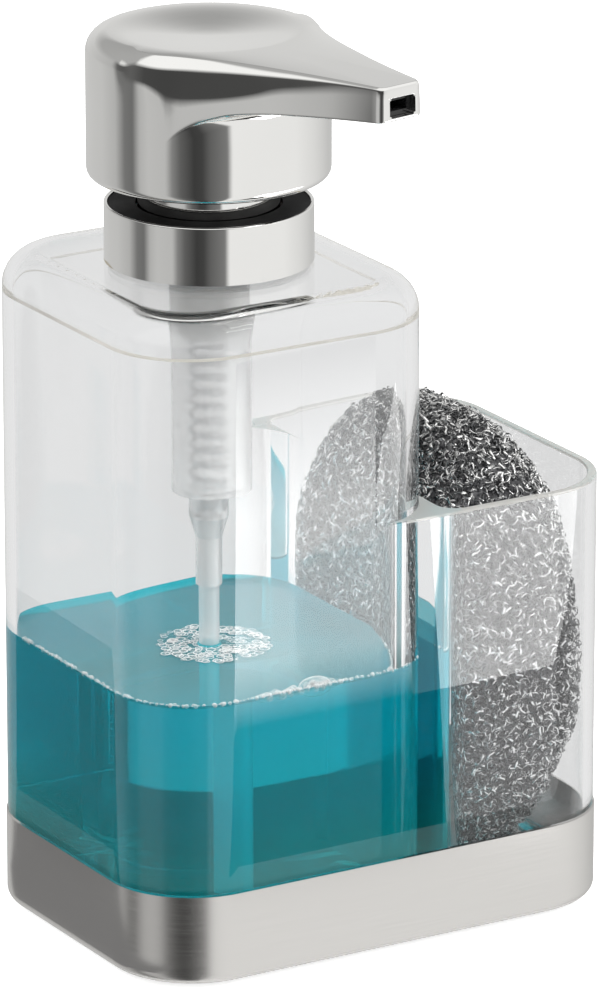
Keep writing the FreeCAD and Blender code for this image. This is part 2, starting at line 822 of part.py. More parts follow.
def make_head_shell():
    """The head with its top edge, full round at the back and crisp along the spout, and its foot."""
    form = make_head_form()
    crisp, full = value("crease_round"), value("head_round")
    axis = FreeCAD.Vector(value("pump_x"), 0, 0)
    heading = FreeCAD.Rotation(Z_AXIS, value("spout_heading")).multVec(FreeCAD.Vector(1, 0, 0))
    rounds = []
    for index, edge in enumerate(form.Shape.Edges, start=1):
        outside = radius_of(edge) and abs(radius_of(edge) - value("dish_radius")) > SAME
        if lies_at(edge, "head_top") and (outside or not radius_of(edge)):
            ends = [(edge.valueAt(spot) - axis).dot(heading) for spot in edge.ParameterRange]
            back = value("head_radius * cos(round_start_angle * 1deg)")
            sizes = [full if end < back + SAME else crisp for end in ends]
            rounds.append((index, *sizes))
        elif lies_at(edge, "head_bottom") and abs(radius_of(edge) - value("head_radius")) < SAME:
            rounds.append((index, value("head_foot_round"), value("head_foot_round")))
    shell = doc.addObject("Part::Fillet", "head_shell")
    shell.Base = form
    shell.Edges = rounds
    doc.recompute()
    return shell


def make_head_insert():
    body = head_body("head_insert")
    profile = sketch_on(body, "insert_profile", "XZ_Plane")
    polygon(profile, [
        ("socket_radius", "hub_bottom"),
        ("hub_radius", "hub_bottom"),
        ("hub_radius", "web_bottom"),
        ("head_bore - insert_fit", "web_bottom"),
        ("head_bore - insert_fit", "web_top"),
        ("hub_radius", "web_top"),
        ("hub_radius", "head_ceiling"),
        ("stem_bore", "head_ceiling"),
        ("stem_bore", "socket_top"),
        ("socket_radius", "socket_top"),
    ])
    revolution(body, profile)
    slot = sketch_on(body, "nozzle_slot", "YZ_Plane")
    upright_rectangle(slot, "outlet_width / 2", "outlet_bottom", "head_top")
    pocket(body, slot, "hub_radius + overrun", reverse=True)
    return body


def make_head_skirt():
    return turned("head_skirt", [
        ("skirt_radius - skirt_wall", "skirt_bottom"),
        ("skirt_radius", "skirt_bottom"),
        ("skirt_radius", "web_bottom"),
        ("skirt_radius - skirt_wall", "web_bottom"),
    ])


def make_spout_nozzle():
    body = head_body("spout_nozzle")
    section = sketch_on(body, "nozzle_section", "YZ_Plane", level="nozzle_start")
    upright_rectangle(section, "nozzle_half_width", "nozzle_bottom", "nozzle_top")
    pad(body, section, "spout_reach - nozzle_recess - nozzle_start")
    bore = sketch_on(body, "nozzle_bore", "YZ_Plane", level="nozzle_start")
    half_bore = "(nozzle_half_width - nozzle_wall)"
    upright_rectangle(bore, half_bore, "nozzle_bottom + nozzle_wall", "nozzle_top - nozzle_wall")
    pocket(body, bore, "spout_reach", reverse=True)
    return body


# Scrubber


def scrubber_section(share, lean, level):
    """A rounded rectangle of the pad at one height."""
    across, deep = value("scrubber_width") / 2 * share, value("scrubber_depth") / 2 * share
    radius = value("scrubber_corner") * share
    middle = value("scrubber_x") - value("scrubber_lean") * lean
    arc_middle = radius * (1 - math.sqrt(0.5))
    edges = []
    corners = [(1, -1), (1, 1), (-1, 1), (-1, -1)]
    ends = []
    for side_x, side_y in corners:
        x, y = middle + side_x * across, side_y * deep
        along_x = FreeCAD.Vector(x - side_x * radius, y, level)
        along_y = FreeCAD.Vector(x, y - side_y * radius, level)
        bend = FreeCAD.Vector(x - side_x * arc_middle, y - side_y * arc_middle, level)
        ends.append((along_x, bend, along_y) if side_x * side_y < 0 else (along_y, bend, along_x))
    for index, (start, bend, end) in enumerate(ends):
        edges.append(Part.Arc(start, bend, end).toShape())
        edges.append(Part.LineSegment(end, ends[(index + 1) % len(ends)][0]).toShape())
    return Part.Wire(edges)


def make_scrubber():
    bottom, height = value("scrubber_bottom"), value("scrubber_height")
    rows = zip(SCRUBBER_HEIGHT_SHARES, SCRUBBER_SIZE_SHARES, SCRUBBER_LEAN_SHARES)
    sections = [scrubber_section(size, lean, bottom + height * up) for up, size, lean in rows]
    scrubber = doc.addObject("Part::Feature", "scrubber")
    scrubber.Shape = Part.makeLoft(sections, True, False)
    return scrubber


MAKERS = (
    make_anti_slip_pad,
    make_base_tray,
    make_clear_body,
    make_shoulder_lid,
    make_soap_fill,
    make_pump_barrel,
    make_neck_gasket,
    make_guide_bush,
    make_dip_tube,
    make_inlet_ball,
    make_screw_closure,
    make_collar_shell,
    make_stem,
    make_piston,
    make_piston_seat,
    make_return_spring,
    make_head_shell,
    make_head_insert,
    make_head_skirt,
    make_spout_nozzle,
    make_scrubber,
)

os.makedirs("parts", exist_ok=True)
pieces = [make() for make in MAKERS]
doc.recompute()
for item in doc.Objects:
    if "Invalid" in item.State or "Error" in item.State:
        raise ValueError(f"{item.Name} failed to build")
for piece in pieces:
    if piece.Shape.isNull() or not piece.Shape.isValid():
        raise ValueError(f"{piece.Label} has no valid shape")
    piece.Shape.exportStep(f"parts/{piece.Label}.step")
    print(piece.Label, len(piece.Shape.Solids), round(piece.Shape.Volume))
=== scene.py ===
import math

import bmesh
import bpy
from mathutils import Euler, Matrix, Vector


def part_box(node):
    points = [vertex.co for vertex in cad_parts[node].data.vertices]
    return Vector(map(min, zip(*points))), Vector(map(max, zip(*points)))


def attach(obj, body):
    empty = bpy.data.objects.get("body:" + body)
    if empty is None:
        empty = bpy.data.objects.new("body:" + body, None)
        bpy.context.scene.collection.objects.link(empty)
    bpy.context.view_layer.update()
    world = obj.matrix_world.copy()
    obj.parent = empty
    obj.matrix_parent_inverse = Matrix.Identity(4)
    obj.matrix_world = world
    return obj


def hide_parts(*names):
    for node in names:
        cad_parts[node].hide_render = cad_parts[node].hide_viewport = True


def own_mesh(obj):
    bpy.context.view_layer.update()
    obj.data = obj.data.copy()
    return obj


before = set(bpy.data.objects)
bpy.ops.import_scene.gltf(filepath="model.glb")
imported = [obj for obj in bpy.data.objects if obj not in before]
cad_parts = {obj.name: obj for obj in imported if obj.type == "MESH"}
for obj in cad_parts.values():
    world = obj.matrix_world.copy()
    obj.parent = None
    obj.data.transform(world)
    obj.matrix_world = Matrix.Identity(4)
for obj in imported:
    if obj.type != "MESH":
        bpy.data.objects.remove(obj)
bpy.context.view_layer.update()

# Soap pump caddy. Sizes are in millimetres, in the frame of the solids: the origin is the middle of
# the underside, X runs from bottle to tub, -Y is the front and Z is up.
MM = 0.001
PUMP_X = -21.1

# clear body and its shoulder
BODY_BOTTOM = 1.7
BODY_EDGE = 1.9
SHELF = 19.85
SHELF_EDGE = 0.2
FLOOR_TOP = 4.0
FLOOR_ROUND = 3.0
TUB_RIM = 90.7
RIM_ROUND = 0.5
RIM_FADE = 22.0
SEAM = 130.4
SEAM_GAP = 0.06
LID_TOP = 138.4
LID_ROUND = 7.4
LID_WALL = 2.4
NECK_TOP = 146.8
NECK_RADIUS = 17.8
NECK_BORE = 15.9
NECK_FILLET = 0.8
NECK_EDGE = 0.4
OUTER_DEPTH = 37.7
OUTER_RADIUS = 18.1
CORNER_Y = OUTER_DEPTH - OUTER_RADIUS
BODY_CORNER_X = 36.8
BOTTLE_CORNER_X = -5.4
BOTTLE_RIGHT = BOTTLE_CORNER_X + OUTER_RADIUS
FOOT_INSET = 0.6
BOTTLE_WALL = 2.4
TUB_WALL = 2.0
TUB_CORNER = 4.0
CORNER_STEPS = 14
LID_STRAIGHTS = 14

# soap
SOAP_LEVEL = 58.1
SOAP_OVERLAP = 0.03
MENISCUS = ((0.0, 1.15), (0.25, 0.8), (0.7, 0.42), (1.5, 0.15), (2.8, 0.02))
TUBE_RADIUS = 2.3
FRONT_WALL = BOTTLE_WALL - OUTER_DEPTH

# foam and bubbles, with their rises over the soap's level
FOAM_RADIUS = 11.5
FOAM_FLATNESS = 0.4
LACE_RISE = 0.25
BEAD_RISE = 1.1
CLUSTER_RISE = 0.6
LARGE_BUBBLE_SIZE = Vector((3.7, 1.9, 2.0))
LARGE_BUBBLE_PLACE = Vector((-17.2, FRONT_WALL + 2.0, SOAP_LEVEL + 0.5))

# scrubber, as it stands in use
PAD_X = 32.8
PAD_HEIGHT = 99.0
PAD_LUMPS = 0.5
CORE_DEPTH = 2.1
RIBBON_DEPTH = 1.15
FOOT_TAPER = 0.2
FOOT_SHARE = 0.4
CROWN_SINK = 2.0

# return spring and neck thread
SPRING_TURNS = 10.0
SPRING_RADIUS = 3.8
SPRING_WIRE = 0.45
THREAD_TURNS = 1.75
THREAD_WIRE = 0.45
THREAD_SINK = 0.12
THREAD_START = 1.9
THREAD_RISE = 4.6

# pump head
HEAD_HEADING = -79.4
HEAD_RADIUS = 24.3
HEAD_TOP = 185.8
HEAD_BOTTOM = 156.3
HEAD_BORE = 22.1
HEAD_CEILING = 182.4
HEAD_ROUND = 4.3
FOOT_ROUND = 1.8
DISH_RADIUS = 18.6
DISH_DEPTH = 1.2
BORE_EDGE = 0.8
CREASE_FADE = 13.0
CREASE_TURN = 42.0
BEVEL_GROWTH = 0.35
SPOUT_START = 8.0
SPOUT_REACH = 57.0
SPOUT_TIP_WIDTH = 10.4
SPOUT_TIP_HEIGHT = 7.0
SPOUT_LIP = 1.1
TIP_LIP = 0.5
TIP_ROUND = 0.9
UNDERSIDE_SLOPE = 0.078
UNDERSIDE_DIP = 0.02
ROOT_ROUND = 2.8
ROOT_SINK = 6.5
ROOT_FADE = 6.0
ROOT_X = 11.8
LEAN = 0.6
LEAN_HEIGHT = 5.0
ROOT_LEAN = 0.55
ROOT_LEAN_HEIGHT = 6.0
SPOUT_SIDE_RADIUS = 145.0
SPOUT_TIP_ROUND = 1.7
OUTLET_WIDTH = 6.6
OUTLET_HEIGHT = 4.0
OUTLET_DROP = 4.3
OUTLET_LENGTH = 42.0
OUTLET_ROUND = 0.45


# Meshes


class Skin:
    """Rows of points, in millimetres, joined into the faces of one closed piece."""

    def __init__(self):
        self.points = []
        self.faces = []

    def row(self, points):
        start = len(self.points)
        self.points.extend(points)
        return list(range(start, len(self.points)))

    def face(self, corners):
        kept = [corner for index, corner in enumerate(corners) if corner != corners[index - 1]]
        if len(set(kept)) > 2:
            self.faces.append(kept)

    def band(self, first, second, closed=True):
        count = len(first)
        for index in range(count if closed else count - 1):
            after = (index + 1) % count
            self.face([first[index], first[after], second[after], second[index]])

    def bands(self, rows, closed=True):
        for first, second in zip(rows, rows[1:]):
            self.band(first, second, closed)

    def fan(self, row, point):
        middle = self.row([point])[0]
        for index, corner in enumerate(row):
            self.face([corner, row[(index + 1) % len(row)], middle])

    def piece(self, name, material, crease=30):
        mesh = bpy.data.meshes.new(name)
        mesh.from_pydata([[MM * number for number in point] for point in self.points], [], self.faces)
        return finished(name, mesh, material, crease)


def finished(name, mesh, material, crease=30):
    """An object of a closed mesh, facing outwards, smooth but for edges sharper than the crease."""
    shape = bmesh.new()
    shape.from_mesh(mesh)
    bmesh.ops.recalc_face_normals(shape, faces=shape.faces)
    shape.to_mesh(mesh)
    shape.free()
    mesh.polygons.foreach_set("use_smooth", [True] * len(mesh.polygons))
    mesh.set_sharp_from_angle(angle=math.radians(crease))
    mesh.materials.clear()
    mesh.materials.append(material)
    blank = linked(name + "_blank", mesh)
    level = blank.modifiers.new("level_flats", "WEIGHTED_NORMAL")
    level.keep_sharp = True
    return linked(name, settled(blank))


def linked(name, mesh):
    piece = bpy.data.objects.new(name, mesh)
    bpy.context.scene.collection.objects.link(piece)
    return piece


def settled(piece):
    """The mesh of an object with its modifiers applied; the object itself goes."""
    graph = bpy.context.evaluated_depsgraph_get()
    shown = piece.evaluated_get(graph)
    mesh = bpy.data.meshes.new_from_object(shown, preserve_all_data_layers=True, depsgraph=graph)
    bpy.data.objects.remove(piece)
    return mesh


def meshed(shape, name):
    mesh = bpy.data.meshes.new(name)
    shape.to_mesh(mesh)
    shape.free()
    return mesh


def flat_patch(name, points, level):
    mesh = bpy.data.meshes.new(name)
    corners = [(x * MM, y * MM, level * MM) for x, y in points]
    mesh.from_pydata(corners, [], [list(range(len(corners)))])
    return mesh


def arc(centre_x, centre_y, radius, start):
    turns = [math.radians(start + 90 * step / CORNER_STEPS) for step in range(CORNER_STEPS + 1)]
    return [(centre_x + radius * math.cos(turn), centre_y + radius * math.sin(turn)) for turn in turns]


def bottle_loop(inset, straights=0):
    """The bottle's outline, moved in from its outer wall, from the right wall round by the back."""
    radius = OUTER_RADIUS - inset
    corners = [
        arc(BOTTLE_CORNER_X, CORNER_Y, radius, 0),
        arc(-BODY_CORNER_X, CORNER_Y, radius, 90),
        arc(-BODY_CORNER_X, -CORNER_Y, radius, 180),
        arc(BOTTLE_CORNER_X, -CORNER_Y, radius, 270),
    ]
    loop = []
    for index, corner in enumerate(corners):
        after = corners[(index + 1) % len(corners)][0]
        loop += corner
        for step in range(1, straights + 1):
            share = step / (straights + 1)
            loop.append(tuple(a + (b - a) * share for a, b in zip(corner[-1], after)))
    return loop


# where the long walls of the body carry a column of points, from tub to bottle
WALL_STOPS = (16.7, 9.4, 2.0, BOTTLE_CORNER_X)


def body_loop(inset):
    """The whole body's outline, from the right wall round by the back."""
    radius, depth = OUTER_RADIUS - inset, OUTER_DEPTH - inset
    return (
        arc(BODY_CORNER_X, CORNER_Y, radius, 0)
        + [(x, depth) for x in WALL_STOPS]
        + arc(-BODY_CORNER_X, CORNER_Y, radius, 90)
        + arc(-BODY_CORNER_X, -CORNER_Y, radius, 180)
        + [(x, -depth) for x in reversed(WALL_STOPS)]
        + arc(BODY_CORNER_X, -CORNER_Y, radius, 270)
    )


def body_row(skin, inset, level):
    return skin.row(raised(body_loop(inset), level))


def tub_loop(outset):
    """The tub's hollow, from the front end of the bottle's right wall round to its back end."""
    small, large = TUB_CORNER + outset, OUTER_RADIUS - TUB_WALL + outset
    small_x, small_y = BOTTLE_RIGHT + TUB_CORNER, OUTER_DEPTH - TUB_WALL - TUB_CORNER
    return (
        [(BOTTLE_RIGHT - outset, -CORNER_Y)]
        + arc(small_x, -small_y, small, 180)
        + arc(BODY_CORNER_X, -CORNER_Y, large, 270)
        + arc(BODY_CORNER_X, CORNER_Y, large, 0)
        + arc(small_x, small_y, small, 90)
        + [(BOTTLE_RIGHT - outset, CORNER_Y)]
    )


def raised(loop, level):
    return [(x, y, level) for x, y in loop]


def quarter(steps):
    """Shares along and across a quarter round, from its wall to its top."""
    turns = [math.pi / 2 * step / steps for step in range(steps + 1)]
    return [(1 - math.cos(turn), math.sin(turn)) for turn in turns]


def smooth(share):
    share = min(max(share, 0), 1)
    return share * share * (3 - 2 * share)


def hollow(skin, mouth, loop):
    """Walls from a mouth down to a floor with a rounded edge. The loop gives an outline by its inset."""
    rows = [
        skin.row(raised(loop(FLOOR_ROUND * across), FLOOR_TOP + FLOOR_ROUND * (1 - up)))
        for across, up in quarter(5)
    ]
    skin.bands([mouth] + rows)
    skin.face(rows[-1])


def make_clear_body():
    skin = Skin()
    count = CORNER_STEPS + 1
    back_end, front_end = count + 3, 3 * count + 4
    foot = [
        body_row(skin, FOOT_INSET + BODY_EDGE * across, BODY_BOTTOM + BODY_EDGE * (1 - up))
        for across, up in reversed(quarter(4))
    ]
    shelf = [
        body_row(skin, FOOT_INSET, SHELF),
        body_row(skin, SHELF_EDGE, SHELF),
        body_row(skin, 0, SHELF + SHELF_EDGE),
        body_row(skin, 0, TUB_RIM - RIM_ROUND),
    ]
    skin.bands(foot + shelf)
    skin.face(foot[0])
    # the bottle's side of the walls goes up plain, the tub's side ends in a round that fades out
    wall = shelf[-1]
    left = list(range(back_end, front_end + 1))
    right = list(range(front_end, 4 * count + 8)) + list(range(back_end + 1))
    left_rim = skin.row([body_loop(0)[column] + (TUB_RIM,) for column in left])
    skin.band([wall[column] for column in left], left_rim, closed=False)
    back_rim, front_rim = left_rim[0], left_rim[-1]
    fades = [smooth((body_loop(0)[column][0] - BOTTLE_CORNER_X) / RIM_FADE) for column in right]
    outer_rims = []
    for across, up in quarter(3):
        points = []
        for column, fade in list(zip(right, fades))[1:-1]:
            size = RIM_ROUND * fade
            points.append(body_loop(size * across)[column] + (TUB_RIM - size * (1 - up),))
        outer_rims.append([front_rim] + skin.row(points) + [back_rim])
    skin.bands([[wall[column] for column in right]] + outer_rims, closed=False)
    # the bottle's own walls, from the tub's rim to the seam
    upper = raised(bottle_loop(0), TUB_RIM)
    back_bend, front_bend = skin.row(upper[:count - 1]), skin.row(upper[3 * count + 1:])
    bottle_rim = back_bend + left_rim[:2 * count + 1] + [front_rim] + front_bend
    back_corner, front_corner = bottle_rim[0], bottle_rim[-1]
    seam = [skin.row(raised(bottle_loop(inset), SEAM)) for inset in (0, BOTTLE_WALL)]
    skin.bands([bottle_rim] + seam)
    # the tub's rim and the two hollows
    inner_rims = []
    for across, up in quarter(3):
        inset, level = RIM_ROUND * across, TUB_RIM - RIM_ROUND * (1 - up)
        between = skin.row(raised(tub_loop(inset), level)[1:-1])
        inner_rims.append([front_corner] + between + [back_corner])
    skin.bands(inner_rims, closed=False)
    skin.face(
        outer_rims[-1]
        + bottle_rim[:count][-2::-1]
        + inner_rims[-1][-2::-1]
        + bottle_rim[3 * count:][-2:0:-1]
    )
    hollow(skin, inner_rims[0], lambda inset: tub_loop(-inset))
    hollow(skin, seam[-1], lambda inset: bottle_loop(BOTTLE_WALL + inset))
    body = skin.piece("clear_caddy_body", MATERIALS["clear"])
    dress_edges(body)
    return body


def dress_edges(body):
    """The tub's rim and the edge that is welded take finishes of their own."""
    body.data.materials.append(MATERIALS["rim"])
    body.data.materials.append(MATERIALS["weld"])
    for face in body.data.polygons:
        x, _, level = face.center / MM
        on_tub = x > 0 or face.normal.z > 0.9
        if on_tub and TUB_RIM - RIM_ROUND < level < TUB_RIM + 0.01:
            face.material_index = 1
        elif level > SEAM - 0.01:
            face.material_index = 2


def lid_row(skin, inset, level):
    return skin.row(raised(bottle_loop(inset, LID_STRAIGHTS), level))


def neck_row(skin, radius, level):
    """A ring round the pump's axis, with one point for each point of the lid's outline."""
    angles = [math.atan2(y, x - PUMP_X) for x, y in bottle_loop(0, LID_STRAIGHTS)]
    ring = [(PUMP_X + radius * math.cos(angle), radius * math.sin(angle)) for angle in angles]
    return skin.row(raised(ring, level))


def make_shoulder():
    skin = Skin()
    side = LID_TOP - LID_ROUND
    inner_round = LID_ROUND - LID_WALL
    inner_top = LID_TOP - LID_WALL
    rows = [lid_row(skin, 0, SEAM + SEAM_GAP)]
    rows += [lid_row(skin, LID_ROUND * across, side + LID_ROUND * up) for across, up in quarter(9)]
    rows += [
        neck_row(skin, NECK_RADIUS + NECK_FILLET * (1 - up), LID_TOP + NECK_FILLET * across)
        for across, up in quarter(3)
    ]
    rows += [
        neck_row(skin, radius, level)
        for radius, level in (
            (NECK_RADIUS, NECK_TOP - NECK_EDGE),
            (NECK_RADIUS - NECK_EDGE, NECK_TOP),
            (NECK_BORE + NECK_EDGE, NECK_TOP),
            (NECK_BORE, NECK_TOP - NECK_EDGE),
            (NECK_BORE, inner_top + NECK_EDGE),
            (NECK_BORE + NECK_EDGE, inner_top),
        )
    ]
    rows += [
        lid_row(skin, BOTTLE_WALL + inner_round * across, side + inner_round * up)
        for across, up in reversed(quarter(7))
    ]
    rows.append(lid_row(skin, BOTTLE_WALL, SEAM + SEAM_GAP))
    skin.bands(rows + rows[:1])
    shoulder = skin.piece("clear_shoulder", MATERIALS["clear"])
    shoulder.data.materials.append(MATERIALS["weld"])
    for face in shoulder.data.polygons:
        if face.center.z / MM < SEAM + SEAM_GAP + 0.01:
            face.material_index = 1
    return shoulder


def make_soap():
    """The soap up to its level, climbing a little at the walls and at the dip tube."""
    skin = Skin()
    wall, floor = BOTTLE_WALL - SOAP_OVERLAP, FLOOR_TOP - SOAP_OVERLAP
    rows = [
        lid_row(skin, wall + FLOOR_ROUND * across, floor + FLOOR_ROUND * (1 - up))
        for across, up in reversed(quarter(5))
    ]
    skin.face(rows[0])
    rows += [lid_row(skin, wall + inset, SOAP_LEVEL + rise) for inset, rise in MENISCUS]
    tube = TUBE_RADIUS - 0.1
    rows += [neck_row(skin, tube + inset, SOAP_LEVEL + rise / 2) for inset, rise in reversed(MENISCUS)]
    skin.bands(rows)
    skin.fan(rows[-1], (PUMP_X, 0, SOAP_LEVEL + MENISCUS[0][1] / 2))
    return skin.piece("liquid_soap", MATERIALS["soap"])


# The pump head


def spout_side():
    """The hollow side of the spout, from near its tip to where it leaves the round head."""
    tip_x, tip_y = SPOUT_REACH, SPOUT_TIP_WIDTH / 2
    far = HEAD_RADIUS + SPOUT_SIDE_RADIUS
    reach = math.hypot(tip_x, tip_y)
    bend = math.acos((far**2 + reach**2 - SPOUT_SIDE_RADIUS**2) / (2 * far * reach))
    heading = math.atan2(tip_y, tip_x) + bend
    centre_x, centre_y = far * math.cos(heading), far * math.sin(heading)
    start = math.atan2(tip_y - centre_y, tip_x - centre_x) - SPOUT_TIP_ROUND / SPOUT_SIDE_RADIUS
    end = heading - math.pi
    steps = 44
    turns = [start + (end - start) * step / steps for step in range(steps + 1)]
    side = [
        (centre_x + SPOUT_SIDE_RADIUS * math.cos(turn), centre_y + SPOUT_SIDE_RADIUS * math.sin(turn))
        for turn in turns
    ]
    return side, heading


def head_outline():
    """The head in plan with its spout along X, from the middle of the tip all the way round."""
    side, root = spout_side()
    corner = Vector((SPOUT_REACH, SPOUT_TIP_WIDTH / 2))
    low, high = corner - Vector((0, SPOUT_TIP_ROUND)), Vector(side[0])
    half = [(SPOUT_REACH, low.y * share) for share in (0, 0.3, 0.6, 0.85)]
    for step in range(6):
        share = step / 6
        point = low * (1 - share) ** 2 + corner * 2 * share * (1 - share) + high * share**2
        half.append((point.x, point.y))
    half += side
    steps = 56
    for step in range(1, steps + 1):
        turn = root + (math.pi - root) * step / steps
        half.append((HEAD_RADIUS * math.cos(turn), HEAD_RADIUS * math.sin(turn)))
    return half + [(x, -y) for x, y in half[-2:0:-1]]


def outward(outline):
    """The outward direction at each point of an outline."""
    found = []
    for index, _ in enumerate(outline):
        before, after = outline[index - 1], outline[(index + 1) % len(outline)]
        along = Vector((after[0] - before[0], after[1] - before[1])).normalized()
        found.append(Vector((along.y, -along.x)))
    return found


def spout_underside(x):
    """The level of the spout's underside, which sinks into the round head at its root."""
    x = max(x, ROOT_X)
    sunk = UNDERSIDE_SLOPE * (SPOUT_REACH - x) + ROOT_SINK * math.exp((ROOT_X - x) / ROOT_FADE)
    return HEAD_TOP - SPOUT_TIP_HEIGHT - sunk


def dish_points(ray):
    """Out over the thumb dish to its rim."""
    shares = (0.2, 0.4, 0.6, 0.75, 0.87, 0.95, 1)
    return [
        (*(ray * DISH_RADIUS * share), HEAD_TOP - DISH_DEPTH * (1 - share**2) ** 2) for share in shares
    ]


def brow_points(place, out, along):
    """Over the head's top edge, round at the back and creased over a bevel at the spout.

    Also gives how far, and over what height, the side below it leans in."""
    angle = math.degrees(math.atan2(abs(place.y), place.x))
    winged = smooth((90 - angle) / CREASE_FADE)
    crease = math.radians(90 - CREASE_TURN * winged)
    rooted = smooth((place.x - 7) / 8) * (1 - smooth((place.x - 19) / 17))
    lean = (LEAN * (1 - 0.6 * along) + ROOT_LEAN * rooted) * winged
    lean_height = LEAN_HEIGHT + ROOT_LEAN_HEIGHT * rooted
    slope = math.atan2(2 * lean, lean_height)
    edge = (HEAD_ROUND + (TIP_ROUND - HEAD_ROUND) * along) * (1 + BEVEL_GROWTH * winged)
    middle = HEAD_TOP - edge * (math.sin(crease) - math.sin(slope))
    points = []
    steps = 8
    for step in range(steps + 1):
        turn = crease + (slope - crease) * step / steps
        inset = place - out * (lean + edge * (math.cos(slope) - math.cos(turn)))
        points.append((*inset, middle + edge * (math.sin(turn) - math.sin(slope))))
    return points, lean, lean_height


def under_points(ray, radius, lip):
    """Round the spout's lower edge, in along its underside and down its root to the round wall."""
    fit = min(1, max(radius - HEAD_RADIUS, 0) / (lip + ROOT_ROUND))
    under = spout_underside((ray * radius).x)
    points = [
        (*(ray * (radius - lip * fit * across)), under + lip * (1 - up)) for across, up in quarter(4)[1:]
    ]
    edge_radius, root_radius = radius - lip * fit, HEAD_RADIUS + ROOT_ROUND * fit
    for share in (0.25, 0.5, 0.75):
        spot = ray * (edge_radius + (root_radius - edge_radius) * share)
        points.append((*spot, spout_underside(spot.x) - UNDERSIDE_DIP * share))
    root_top = spout_underside((ray * root_radius).x) - UNDERSIDE_DIP
    for across, up in quarter(5):
        root = ray * (HEAD_RADIUS + ROOT_ROUND * fit * (1 - up))
        points.append((*root, root_top - ROOT_ROUND * across))
    return points


def wall_points(ray, top):
    """Down the round wall, round its foot and up the bore."""
    foot = HEAD_BOTTOM + FOOT_ROUND
    points = [(*(ray * HEAD_RADIUS), top + (foot - top) * share) for share in (0.33, 0.66)]
    for across, up in quarter(5):
        points.append((*(ray * (HEAD_RADIUS - FOOT_ROUND * across)), foot - FOOT_ROUND * up))
    for radius, level in (
        (HEAD_BORE, HEAD_BOTTOM),
        (HEAD_BORE, HEAD_CEILING - BORE_EDGE),
        (HEAD_BORE - BORE_EDGE, HEAD_CEILING),
    ):
        points.append((*(ray * radius), level))
    return points


def head_column(point, out):
    """One line of points down the head's outside, from the dish to the bore, as (x, y, level)."""
    place = Vector(point)
    radius = place.length
    ray = place / radius
    along = smooth((place.x - SPOUT_START) / (SPOUT_REACH - SPOUT_START))
    brow, lean, lean_height = brow_points(place, out, along)
    lip = SPOUT_LIP + (TIP_LIP - SPOUT_LIP) * along
    middle, edge = brow[-1][2], spout_underside(place.x) + lip
    side = []
    for share in (0.12, 0.25, 0.4, 0.55, 0.75, 1):
        level = middle + (edge - middle) * share
        bow = max(1 - (middle - level) / min(lean_height, middle - edge), 0)
        side.append((*(place - out * lean * bow**2), level))
    under = under_points(ray, radius, lip)
    return dish_points(ray) + brow + side + under + wall_points(ray, under[-1][2])


def head_place(point):
    """A point of the head with its spout along X, turned to the spout's heading at rest."""
    turn = math.radians(HEAD_HEADING)
    x, y, level = point
    return (
        PUMP_X + x * math.cos(turn) - y * math.sin(turn),
        x * math.sin(turn) + y * math.cos(turn),
        level,
    )


def outlet_cutter():
    """The channel that opens at the spout's tip, with its long edges eased."""
    shape = bmesh.new()
    bmesh.ops.create_cube(shape, size=1)
    length = OUTLET_LENGTH
    for vertex in shape.verts:
        vertex.co.x = SPOUT_REACH + 2 - length / 2 + vertex.co.x * length
        vertex.co.y *= OUTLET_WIDTH
        vertex.co.z = HEAD_TOP - OUTLET_DROP + vertex.co.z * OUTLET_HEIGHT
    long_edges = [
        edge for edge in shape.edges if abs(edge.verts[0].co.x - edge.verts[1].co.x) > length / 2
    ]
    bmesh.ops.bevel(shape, geom=long_edges, offset=OUTLET_ROUND, segments=3, affect="EDGES")
    for vertex in shape.verts:
        vertex.co = Vector(head_place(vertex.co)) * MM
    return linked("outlet_cutter", meshed(shape, "outlet_cutter"))


def make_head():
    skin = Skin()
    outline = head_outline()
    columns = [head_column(point, out) for point, out in zip(outline, outward(outline))]
    rows = [skin.row([head_place(point) for point in level]) for level in zip(*columns)]
    skin.bands(rows)
    skin.fan(rows[0], head_place((0, 0, HEAD_TOP - DISH_DEPTH)))
    skin.fan(rows[-1], head_place((0, 0, HEAD_CEILING)))
    blank = skin.piece("head_blank", MATERIALS["chrome"])
    cutter = outlet_cutter()
    cut = blank.modifiers.new("outlet", "BOOLEAN")
    cut.operation = "DIFFERENCE"
    cut.solver = "EXACT"
    cut.object = cutter
    mesh = settled(blank)
    bpy.data.objects.remove(cutter)
    return finished("spout_head", mesh, MATERIALS["chrome"])


# Nodes


def add_node(tree, kind, inputs=None, **settings):
    """A new node; each input is linked to a socket or set to a value."""
    made = tree.nodes.new(kind)
    for name, value in settings.items():
        setattr(made, name, value)
    for name, value in (inputs or {}).items():
        if isinstance(value, bpy.types.NodeSocket):
            tree.links.new(value, made.inputs[name])
        else:
            made.inputs[name].default_value = value
    return made


# Geometry trees


INPUT_KINDS = {float: "NodeSocketFloat", int: "NodeSocketInt", type(None): "NodeSocketMaterial"}


